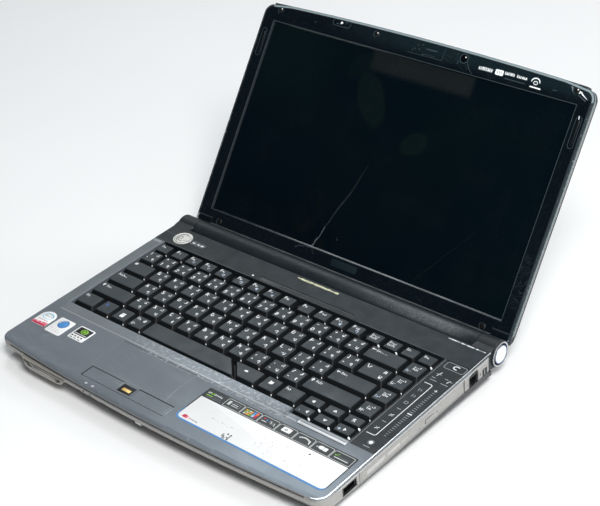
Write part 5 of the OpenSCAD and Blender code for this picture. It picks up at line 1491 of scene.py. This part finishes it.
# ------------------------------------------------------------------ lid: feet of the two lower corners
for sgn, name in ((-1, "lid_foot_left"), (1, "lid_foot_right")):
    s = Shape(name, lambda u, v, w: lid(u, v, w), M["bezel_gloss"], M["lid_paint"])
    a, b = sgn * 152.6, sgn * 169.6
    sec = [(a, 9.9), (b - sgn * 0.6, 9.9), (b, 10.6), (b, 16.2), (b - sgn * 0.8, 16.9), (a, 16.9)]
    s.loft([[(p, q + 0.9 if q < 10.5 else min(q, 12.2), 7.4) for p, q in sec], [(p, q + 0.2 if q < 10.5 else min(q, 13.4), 8.2) for p, q in sec], [(p, min(q, 14.6), 9.6) for p, q in sec], [(p, min(q, 15.8), 11.4) for p, q in sec], [(p, q, 13.2) for p, q in sec], [(p, q, 15.4) for p, q in sec]], 1)
    s.loft([[(p, q, l) for p, q in ((a, 9.4), (b - sgn * 2.2, 9.4), (b - sgn * 2.2, 10.2), (a, 10.2))] for l in (9.6, 15.2)], 0)
    s.make("lid", (), 30, True)

# ------------------------------------------------------------------ lid: a pale line behind the bezel, a painted highlight on the rounded rim, and a dark seam
LID_TOP, LID_R = 220.5, 3850.0


def lid_outline(i, low=15.2):
    """The lid's outline in (x, l), drawn in by i, from the lower left round the top to the lower right."""
    def top(x):
        return LID_TOP - LID_R + math.sqrt((LID_R - i) ** 2 - x * x)
    pts = [(-170 + i, low), (-170 + i, 110), (-170 + i, LID_TOP - 14)]
    for k in range(1, 7):
        a = math.pi - k * math.pi / 2 / 6
        x, l = -161 + (9 - i) * math.cos(a), LID_TOP - 14 + (9 - i) * math.sin(a)
        pts.append((x, min(l, top(x))))
    for k in range(1, 16):
        x = -161 + k * 322 / 16
        pts.append((x, top(x)))
    for x, l in [(-p[0], p[1]) for p in reversed(pts[:9])]:
        pts.append((x, l))
    return pts


s = Shape("lid_rim_lines", lid_face(9.5), M["rim_pale"], M["socket_black"], M["lid_line"], M["rim_dim"])
def upper(i):
    return [p for p in lid_outline(i, 9.0) if p[1] > LID_TOP - 15 and p[0] > -162]


def right_side(i):
    return [p for p in lid_outline(i, 9.0) if p[0] > 150]


# painted highlights: a pale line along the rim's rounded top and dimmer ones down the right side
s.ribbon(upper(1.15), 1.6, -0.5, 0.05, 0)
s.ribbon(right_side(0.95), 0.4, -0.5, 0.04, 3)
s.ribbon(right_side(1.95), 0.45, -0.3, 0.035, 3)
s.ribbon(right_side(2.6), 0.45, -0.3, 0.035, 1)
s.ribbon(upper(2.4), 0.7, -0.3, 0.04, 1)
s.ribbon(lid_outline(0.26, 9.0), 0.3, -0.6, -0.25, 1)
for sgn in (-1, 1):
    # painted highlight along the lower edge of each foot
    s.ribbon([(sgn * 152.8, 9.2), (sgn * 167.0, 9.2), (sgn * 168.5, 10.8)], 0.55, -0.4, 0.06, 0)
# painted highlight along the front of the lid's side band
s.ribbon(lid_outline(0.22), 0.6, -2.75, -1.65, 0)
s.ribbon(lid_outline(0.18), 0.5, -3.35, -2.75, 1)
s.ribbon(lid_outline(0.3), 0.6, -6.2, -5.6, 1)
s.make("lid", (), 40)
# fine pale line round the screen's opening, a painted highlight on its chamfer
s = Shape("opening_line", lid_face(9.5), M["rim_dim"])
s.ribbon([(-156.9, 23.3), (156.9, 23.3), (156.9, 201.6), (-156.9, 201.6)], 0.42, -0.5, 0.03, 0, True)
s.make("lid", (), 40)

# ------------------------------------------------------------------ lid: small parts on the bezel
s = Shape("bezel_print", lid_face(9.5), M["lid_print"], M["lid_print_dim"], M["lid_line"], M["socket_black"], M["glint"], M["blank"])
A, B = -0.05, 0.03
for x, l in ((-4.8, 208.9), (-2.8, 210.6), (1.3, 210.9), (3.9, 215.2), (6.0, 207.1), (-0.6, 214.0)):
    s.plate(ring(x, l, 0.62, 10), A, B, 2, 0.01)
    s.plate(ring(x, l, 0.36, 8), A, B + 0.02, 3, 0.01)
q = random.Random(12)
u = 8.8
while u < 19:
    s.ribbon([(u, 212.3 + q.random() * 0.6), (u + 0.9, 212.7)], 0.75, A, B, 2)
    u += 1.35
for k in range(7):
    s.ribbon([(6.5 + k * 1.8, 207.8), (7.4 + k * 1.8, 207.9)], 0.45, A, B, 1)
s.ribbon([(-9, 206.4), (26, 206.6), (26.6, 217.2)], 0.3, A, B, 1)
# a row of plain upright ticks, a white tab, another row, and a small round emblem place
u = 62.8
while u < 76.4:
    h = 2.3 if q.random() < 0.5 else 2.0
    s.ribbon([(u, 208.3), (u + 0.15, 208.3 + h)], 0.85, A, B, 0)
    if q.random() < 0.6:
        s.ribbon([(u + 0.4, 208.3 + (0.2 if q.random() < 0.5 else h - 0.2)), (u + 0.95, 208.3 + (0.2 if q.random() < 0.5 else h - 0.2))], 0.5, A, B, 0)
    u += 1.7
s.plate(rect(78.2, 85.8, 207.4, 211.9, 0.9, 4), A, B, 0, 0.015)
for x in (80.2, 82.0, 83.8):
    s.ribbon([(x, 208.8), (x, 210.6)], 0.45, A, B + 0.02, 3)
u = 87.6
while u < 108:
    h = 2.0 if q.random() < 0.5 else 1.6
    if not 96.6 < u < 98.4:
        s.ribbon([(u, 209.6), (u + 0.15, 209.6 + h)], 0.7, A, B, 0)
        if q.random() < 0.6:
            s.ribbon([(u + 0.4, 209.8 if q.random() < 0.5 else 209.4 + h), (u + 0.95, 209.8 if q.random() < 0.5 else 209.4 + h)], 0.5, A, B, 0)
    u += 1.62
u = 88.6
while u < 108:
    s.ribbon([(u, 206.2), (u + 0.7, 206.4)], 0.6, A, B, 2)
    u += 1.5
s.ribbon(ring(116.2, 209.4, 3.9, 14, 0.15, math.pi - 0.1, 3.7), 0.9, A, B, 0, False, [0.4, 0.7, 1, 1, 1, 1, 1, 1, 1, 1, 1, 1, 0.7, 0.4])
s.ribbon(ring(116.4, 209.2, 1.8, 12, 0, 2 * math.pi, 1.4), 0.5, A, B, 0, True)
s.plate(ring(116.4, 209.2, 0.7, 8), A, B, 2, 0.01)
for k in range(5):
    s.ribbon([(112.6 + k * 2.0, 205.6 - k * 0.05), (113.8 + k * 2.0, 205.6 - k * 0.05)], 1.1, A, B, 0)
s.ribbon([(133, 207.6), (136.5, 207.8)], 0.5, A, B, 1)
# left end: an oblong place with a small pointed mark
s.ribbon(rect(-92.9, -73.8, 211.9, 218.0, 2.9, 7), 0.45, A, B, 1, True)
s.plate(rounded([(-84.6, 213.6), (-81.6, 215.2), (-84.4, 216.6)], 0.3, 2), A, B, 0, 0.01)
s.ribbon([(-86.6, 213.8), (-88.4, 213.6)], 0.8, A, B, 2)
s.ribbon([(-79.8, 216.2), (-77.6, 216.4)], 0.6, A, B, 1)
s.ribbon([(-112.5, 210), (-110.4, 210.1)], 0.4, A, B, 1)
# a plain oblong where a name would be
s.plate(rect(-13.6, 13.8, 14.9, 21.1, 0.8, 3), A, 0.04, 5, 0.03)
s.make("lid", (), 40)

# camera eye
s = Shape("webcam_skin", lid_face(0), M["black_plastic"], M["lens"], M["lid_line"], M["glint"])
s.revolve(46.3, 213, [(2.35, -12.6), (2.35, -9.6), (4.0, -9.56), (4.05, -9.42), (3.85, -9.34), (3.55, -9.38), (3.4, -9.46), (2.6, -9.40), (1.3, -9.36), (0, -9.34)], 32, 0, True,
          [0, 0, 2, 2, 2, 0, 1, 1, 1])
s.plate(ring(47.6, 214.4, 0.55, 8), -9.5, -9.33, 3, 0.01)
s.make("lid", ("webcam",), 40, True)
s = Shape("film_scratches", lid_face(9.5), M["crack_dim"], M["lid_line"], M["crack"])
for pts, m, w in (([(38.6, 218.6), (40.6, 214.4), (39.8, 211.2), (37.0, 209.8)], 0, 0.6), ([(40.7, 207.4), (42.2, 209.4), (41.0, 210.2)], 1, 0.5), ([(33, 216.6), (38.4, 214.6), (41.8, 216.8)], 0, 0.5),
                 ([(50.6, 210.6), (53.2, 206.4), (57.9, 202.6)], 1, 0.55), ([(49.6, 208.8), (51.8, 204.2)], 0, 0.6), ([(36.2, 206.2), (31.0, 208.0), (26.4, 209.2)], 0, 0.4),
                 ([(43.2, 216.9), (46.9, 218.2), (50.4, 216.6), (51.2, 213.6)], 0, 0.4), ([(28.8, 212.6), (33.4, 211.0), (35.6, 212.4)], 0, 0.4)):
    s.ribbon(pts, w, A, B, m, False, [0.5] + [1] * (len(pts) - 2) + [0.4])
# webs of fine scratches low on the right side
q = random.Random(77)
for k in range(13):
    x, l = 158.5 + q.random() * 8, 40 + q.random() * 46
    a = q.choice((0.9, 2.3, 1.4)) + q.random() * 0.5
    n = 2 + q.random() * 5
    s.ribbon([(x, l), (x + n * 0.5 * math.cos(a), l + n * 0.55 * math.sin(a)), (x + n * math.cos(a + 0.3) * 0.9, l + n * math.sin(a + 0.3))], 0.22, A, 0.015, 1 if q.random() < 0.3 else 0, False, [0.4, 1, 0.3])
s.make("lid", (), 40)

# screw covers: small domes in dark rings, with pale arcs on their rims as painted highlights and a painted glint on the
# upper ones
s = Shape("screw_covers_skin", lid_face(0), M["dome_black"], M["lid_line"], M["glint"], M["socket_black"])
for x, l, g in ((-152.2, 212.3, 1), (-44.4, 213.8, 1), (153.1, 212.0, 1), (-142.8, 14.6, 0), (143.1, 14.4, 0)):
    s.revolve(x, l, [(2.45, -9.9), (2.48, -9.46), (2.3, -9.42), (2.1, -9.2), (1.6, -9.09), (0.8, -9.05), (0, -9.05)], 22, 0, True, [0, 3, 3, 3, 3, 3])
    # painted highlights: pale arcs on the left and lower right of each rim
    s.ribbon(ring(x, l, 3.3, 14, 2.0, 4.6), 0.4, -9.6, -9.46, 1, False, [0.3, 1, 1, 1, 0.3])
    s.ribbon(ring(x, l, 2.5, 10, 5.4, 7.4), 0.3, -9.6, -9.4, 1, False, [0.3, 1, 1, 0.3])
    if g:
        s.plate(ring(x + 0.9, l + 1.0, 0.5, 7), -9.3, -9.04, 2, 0.01)
for x in (-163, 163):
    s.loft([[(x + 1.3 * c * k, (191 - 1.3 + 1.3 * sn * k) if sn >= 0 else (170 + 1.3 + 1.3 * sn * k), w) for c, sn in [(math.cos(i * math.pi / 8), math.sin(i * math.pi / 8)) for i in range(16)]]
            for k, w in ((1, -9.9), (1, -9.3), (0.85, -9.1), (0.5, -9.0))], 0)
s.make("lid", ("screw_covers", "bumper_pads"), 40)
s = Shape("corner_chips", lid_face(9.5), M["chip_pale"], M["crack"], M["lid_print_dim"])
s.plate(ring(155.9, 211.3, 0.95, 9, 0, 2 * math.pi, 1.2), A, 0.06, 0, 0.03)
s.prism([(156.4, 211.6), (158.4, 209.7), (164.4, 206.9), (160.0, 210.0), (157.2, 212.2)], A, B, 0)
s.prism([(146.8, 214.6), (149.8, 210.2), (149.0, 215.8)], A, B, 1)
s.ribbon([(147.4, 215.9), (153.6, 217.2)], 0.6, A, B, 1)
s.ribbon([(155.4, 209.0), (163.2, 205.6)], 0.3, A, B, 1)
# painted glint on the top of the right bumper pad
s.ribbon([(162.2, 193.4), (162.6, 191.2)], 0.8, -0.05, 0.03, 0)
for x in (-163, 163):
    s.ribbon(rect(x - 2.5, x + 2.5, 167.6, 193.2, 2.4, 6), 0.35, -0.05, 0.03, 2, True)
s.make("lid", (), 40)

# ------------------------------------------------------------------ the cracked screen
# the panel's own face lies 11.1 deep; cracks are thin raised veins of splintered glass on it
s = Shape("screen_cracks", lid_face(11.1), M["crack"], M["crack_dim"], M["crack_mid"], M["crack_faint"], M["chip_pale"])
OFF = 17.24
main = [(-38.9, 6.8), (-36.2, 14.2), (-34.4, 18.4), (-32.6, 25.5), (-29.4, 34.0), (-27.0, 41.3), (-23.2, 50.4), (-17.9, 61.9), (-14.6, 74.0), (-10.4, 88.2)]
q = random.Random(3)


def vein(pts, w, m, h=0.05, jag=0.35, step=2.2, t0=1.0, t1=0.3, fade=0.0):
    """A crack: a jagged line that swells and thins, broken where fade says so."""
    out = []
    for (x0, y0), (x1, y1) in zip(pts, pts[1:]):
        n = max(1, int(math.hypot(x1 - x0, y1 - y0) / step))
        for i in range(n):
            k = i / n
            out.append((x0 + (x1 - x0) * k + q.uniform(-jag, jag), y0 + (y1 - y0) * k + q.uniform(-jag, jag)))
    out.append(pts[-1])
    run = [out[0]]
    for i in range(1, len(out)):
        run.append(out[i])
        if q.random() < fade and len(run) > 1:
            flush(run, w, m, h, i / len(out), t0, t1)
            run = [out[i]] if q.random() < 0.5 else []
            if not run:
                run = [((out[i][0] + out[min(i + 1, len(out) - 1)][0]) / 2, (out[i][1] + out[min(i + 1, len(out) - 1)][1]) / 2)]
    if len(run) > 1:
        flush(run, w, m, h, 1.0, t0, t1)


def flush(run, w, m, h, k, t0, t1):
    t = t0 + (t1 - t0) * k
    if math.hypot(run[-1][0] - run[0][0], run[-1][1] - run[0][1]) < 0.4:
        return
    s.ribbon([(x, y + OFF) for x, y in run], w, -0.05, h, m, False, [t * q.uniform(0.55, 1.1) for _ in run])


top = [(-17.9, 61.9), (-14.6, 74.0), (-10.4, 88.2)]
s.ribbon([(x, y + OFF) for x, y in main[4:]], 2.2, -0.05, 0.015, 3, False, [0.3, 0.8, 1, 1, 0.9, 0.3])
vein(main[:4], 1.0, 0, 0.05, 0.25, 1.6, 1.0, 0.55, 0.14)
vein(main[3:8], 0.7, 2, 0.045, 0.35, 2.2, 0.9, 0.5, 0.3)
vein([(x + 0.5, y + 0.2) for x, y in main[:7]], 0.5, 1, 0.03, 0.4, 2.6, 0.9, 0.5, 0.1)
vein(top, 0.35, 1, 0.03, 0.4, 2.6, 0.8, 0.2, 0.3)
vein([(-38.2, 9.6), (-37.4, 15.2)], 0.8, 2, 0.05, 0.2, 1.0, 1, 0.6)
s.plate(ring(-38.7, 7.6 + OFF, 0.9, 7, 0, 2 * math.pi, 0.7), -0.05, 0.05, 0, 0.02)
s.plate(rounded([(-16.9, 19.4 + OFF), (-15.7, 19.2 + OFF), (-15.5, 20.1 + OFF), (-16.6, 20.3 + OFF)], 0.2, 2), -0.05, 0.2, 2, 0.03)
s.ribbon([(-17.2, 21.4 + OFF), (-16.4, 22.2 + OFF)], 0.5, -0.05, 0.03, 1)
for k in range(11):                                       # splinters thrown off the main line
    i = q.randrange(0, len(main) - 1)
    a = math.atan2(main[i + 1][1] - main[i][1], main[i + 1][0] - main[i][0]) + q.choice((-1, 1)) * q.uniform(0.4, 1.1)
    n = q.uniform(1.2, 4.2) * (1.6 if i < 3 else 1)
    vein([main[i], (main[i][0] + n * math.cos(a), main[i][1] + n * math.sin(a))], 0.3, 1 if k % 3 else 2, 0.04, 0.15, 1.0, 0.8, 0.3)
vein([(68.2, 11.1), (88.0, 38.0), (108.2, 64.9)], 0.35, 1, 0.03, 0.5, 3.0, 0.8, 0.4, 0.25)
for pts in ([(120, 150), (128, 163)], [(-20, 120), (-14, 133)], [(60, 140), (69, 146)]):
    vein(pts, 0.2, 1, 0.02, 0.3, 2.0, 0.6, 0.3, 0.2)
s.make("lid", (), 40)
# where the crack runs on over the frame below the screen
s = Shape("frame_crack", lid_face(9.5), M["crack"], M["crack_dim"], M["lid_line"])
OFF = 17.24
vein([(-38.9, 5.9), (-41.8, 4.9), (-44.6, 5.3), (-47.1, 4.3), (-51.0, 4.1), (-54.8, 0.9)], 0.9, 2, 0.03, 0.25, 1.4, 1.0, 0.5)
vein([(-36.8, 5.6), (-35.6, 2.4), (-33.8, 1.2)], 0.8, 2, 0.03, 0.2, 1.2, 0.9, 0.5)
vein([(-46.6, 4.6), (-50.6, 6.0)], 0.4, 1, 0.03, 0.2, 1.2, 0.8, 0.4)
vein([(-42, 5.2), (-41, 1.4), (-42.6, -1.4)], 0.35, 1, 0.03, 0.2, 1.2, 0.8, 0.3)
s.make("lid", (), 40)

# ------------------------------------------------------------------ front left: the card reader's lip
s = Shape("card_reader_lip", deck, M["case_lip"], M["socket_black"], M["case_rub"])


def lip(x, k):
    """Section of the lip at x: full in the middle, drawn up under the deck's edge at both ends."""
    y0 = -141.0 + 1.4 * (1 - k)
    zb = -3.4 - 8.9 * k
    return [(x, y0 + 0.4, -3.0), (x, y0, -3.9), (x, y0 - 0.25 * k, -6.0 * k - 3.9 * (1 - k)), (x, y0 - 0.5 * k, zb + 2.4 * k), (x, y0 + 0.1 * k, zb + 0.8 * k), (x, y0 + 2.2, zb), (x, -131.6, zb), (x, -129.6, -3.2)]


s.loft([lip(x, k) for x, k in ((-138.2, 0.02), (-137.0, 0.2), (-135.6, 0.48), (-133.6, 0.72), (-130.6, 0.9), (-126.0, 0.97), (-118, 1.0), (-104, 1.0), (-98, 0.97), (-93.2, 0.86), (-89.6, 0.66), (-87, 0.42), (-85.0, 0.18), (-83.6, 0.02))], 0)
fy = front_at(-141.05)
s.make("base", (), 35, True)
s = Shape("card_reader_mouth", front_at(-141.25), M["socket_black"], M["steel"], M["case_rub"], M["black_plastic"])
s.ribbon([(-133.6, -4.6), (-128.4, -4.9)], 0.8, -0.7, 0.05, 3)
s.prism(rounded([(-130.2, -7.4), (-124.8, -8.4), (-124.8, -6.2), (-130.0, -5.2)], 0.5, 2), -1.0, 0.06, 0)
s.prism(rounded([(-123.2, -9.4), (-95.2, -9.9), (-91.0, -8.0), (-92.4, -6.4), (-123.0, -5.4)], 0.5, 2), -1.0, 0.07, 0)
s.ribbon([(-122.4, -6.3), (-94.4, -7.0)], 0.4, -0.2, 0.16, 1)
for k in range(8):
    s.ribbon([(-121.0 + k * 1.9, -7.1 - k * 0.03), (-120.1 + k * 1.9, -7.8 - k * 0.03)], 0.55, 0.0, 0.14, 1)
s.ribbon([(-133.6, -7.6), (-128, -9.0), (-122.6, -10.1), (-96, -10.6), (-90.0, -9.0), (-88.2, -7.0)], 0.8, -0.2, 0.2, 2)
s.ribbon([(-135.4, -4.0), (-116, -4.1), (-92, -4.3), (-86.4, -4.2)], 0.45, -0.2, 0.06, 0)
s.make("base", (), 40)
# two tell-tale windows and the dark seam along the front wall
s = Shape("front_seam", deck, M["socket_black"], M["case_rub"])


def fy_at(x):
    return -142 + 2000 - math.sqrt(2000.0 ** 2 - x * x)


run = [x for x in range(-156, 157, 12)]
rings = []
for x in run:
    y = fy_at(x)
    rings.append([(x, y + 0.6, -1.75), (x, y - 0.05, -1.75), (x, y - 0.05, -1.3), (x, y + 0.6, -1.3)])
s.loft(rings, 0)
for x in (-63.7, -56.1):
    y = fy_at(x)
    s.loft([[(x + 0.75 * math.cos(a) * k, y + w, -4.6 + 0.75 * math.sin(a) * k) for a in [i * math.pi / 6 for i in range(12)]] for k, w in ((1, 0.6), (1, 0.0), (0.8, -0.06))], 0)
s.make("base", (), 40)

# ------------------------------------------------------------------ painted glints on the key skirts: pale spots at the front right corners, where the corner edges catch the light
q = random.Random(19)
for node in ("function_row_keys", "arrow_keys", "enter_key", "number_row_keys", "upper_letter_keys", "home_letter_keys", "lower_letter_keys", "bottom_row_keys"):
    s = Shape(node + "_corner_glints", deck, M["chip_pale"])
    for i, c in enumerate(CAPS[node]):
        big = node in ("function_row_keys", "arrow_keys")
        if q.random() < (0.15 if big else 0.3):
            continue
        far = c.cx > 60 or node == "arrow_keys"
        r = (0.72 + 0.25 * q.random()) if (big and far) else 0.36
        bx, by = c.base[1]
        x, y, z = c.x1 + 0.5 * (bx - c.x1) - 0.2, c.y0 + 0.5 * (by - c.y0) + (0.75 if big and far else 0.25), -0.85
        lean = -0.95 if big and far else -0.45
        s.loft([[(x + r * k * math.cos(a) + lean * w, y + r * k * math.sin(a) + 0.3 * w, z + w * (1.5 if big and far else 0.7)) for a in [j * math.pi / 5 for j in range(10)]]
                for k, w in ((0.4, -0.75), (0.9, -0.35), (1, 0.1), (0.7, 0.5), (0.25, 0.7))], 0)
    if s.v:
        s.make(node, (), 60)


# ------------------------------------------------------------------ camera, light, floor
def aim(o, frm, to):
    o.location = frm
    o.rotation_euler = (Vector(to) - Vector(frm)).to_track_quat("-Z", "Y").to_euler()


cam_data = bpy.data.cameras.new("camera")
cam = bpy.data.objects.new("camera", cam_data)
bpy.context.scene.collection.objects.link(cam)
cam_data.sensor_width = 36
cam_data.lens = 88.307
cam_data.clip_start, cam_data.clip_end = 0.05, 20
cam_data.dof.use_dof = False
c_r, c_d, c_f = turn((0.75895, 0.64618, -0.08035)), turn((0.30004, -0.45658, -0.83761)), turn((-0.57791, 0.61158, -0.54036))
c_p = deck(687.818, -678.814, 685.277)
cam.matrix_world = Matrix(((c_r.x, -c_d.x, -c_f.x, c_p.x), (c_r.y, -c_d.y, -c_f.y, c_p.y), (c_r.z, -c_d.z, -c_f.z, c_p.z), (0, 0, 0, 1)))
bpy.context.scene.camera = cam


def soft_box(name, at, to, w, h, power, color=(1, 1, 1)):
    d = bpy.data.lights.new(name, "AREA")
    d.shape, d.size, d.size_y, d.energy, d.color = "RECTANGLE", w, h, power, color
    o = bpy.data.objects.new(name, d)
    bpy.context.scene.collection.objects.link(o)
    aim(o, at, to)
    return o


soft_box("key_light", (0.75, -0.5, 1.2), (0, 0, 0.03), 0.5, 0.5, 17, (1, 0.998, 0.992))
soft_box("fill_left", (-0.68, 0.56, 1.15), (0.08, -0.12, 0.02), 0.4, 0.4, 3.5, (0.93, 0.97, 1))
soft_box("rear_light", (0.3, 1.7, 1.0), (-0.2, 0.5, 0.0), 1.2, 0.6, 9)

world = bpy.data.worlds.new("studio")
bpy.context.scene.world = world
world.use_nodes = True
wt = world.node_tree
bg = next(n for n in wt.nodes if n.type == "BACKGROUND")
wco = wt.nodes.new("ShaderNodeTexCoord")
dot = wt.nodes.new("ShaderNodeVectorMath")
dot.operation = "DOT_PRODUCT"
dot.inputs[1].default_value = (-0.62, -0.66, 0.42)
wt.links.new(wco.outputs["Generated"], dot.inputs[0])
mr = wt.nodes.new("ShaderNodeMapRange")
mr.interpolation_type = "SMOOTHSTEP"
mr.inputs["From Min"].default_value = 0.15
mr.inputs["From Max"].default_value = 0.75
mr.inputs["To Min"].default_value = 0.0
mr.inputs["To Max"].default_value = 1.0
wt.links.new(dot.outputs["Value"], mr.inputs["Value"])
wm = wt.nodes.new("ShaderNodeMix")
wm.data_type = "RGBA"
wm.inputs[6].default_value = (0.64, 0.67, 0.69, 1)
wm.inputs[7].default_value = (0.05, 0.05, 0.055, 1)
wt.links.new(mr.outputs["Result"], wm.inputs[0])
wt.links.new(wm.outputs[2], bg.inputs["Color"])
bg.inputs["Strength"].default_value = 0.8

fm = bpy.data.meshes.new("floor")
fbm = bmesh.new()
bmesh.ops.create_grid(fbm, x_segments=2, y_segments=2, size=4.0)
fbm.to_mesh(fm)
fbm.free()
floor = bpy.data.objects.new("floor", fm)
bpy.context.scene.collection.objects.link(floor)
fs = Mat("floor_mat")
fl = fs.noise(0.004, 3, 0.5)
fm.materials.append(fs.done(fs.blend(fl, lin((244, 245, 245)), lin((250, 250, 250))), 0.85, fs.bump(fs.noise(0.6, 3, 0.5), 0.03, 0.05), spec=0.1))

vs = bpy.context.scene.view_settings
vs.view_transform = "Standard"
vs.look = "None"
vs.exposure = 0.0
vs.gamma = 1.0
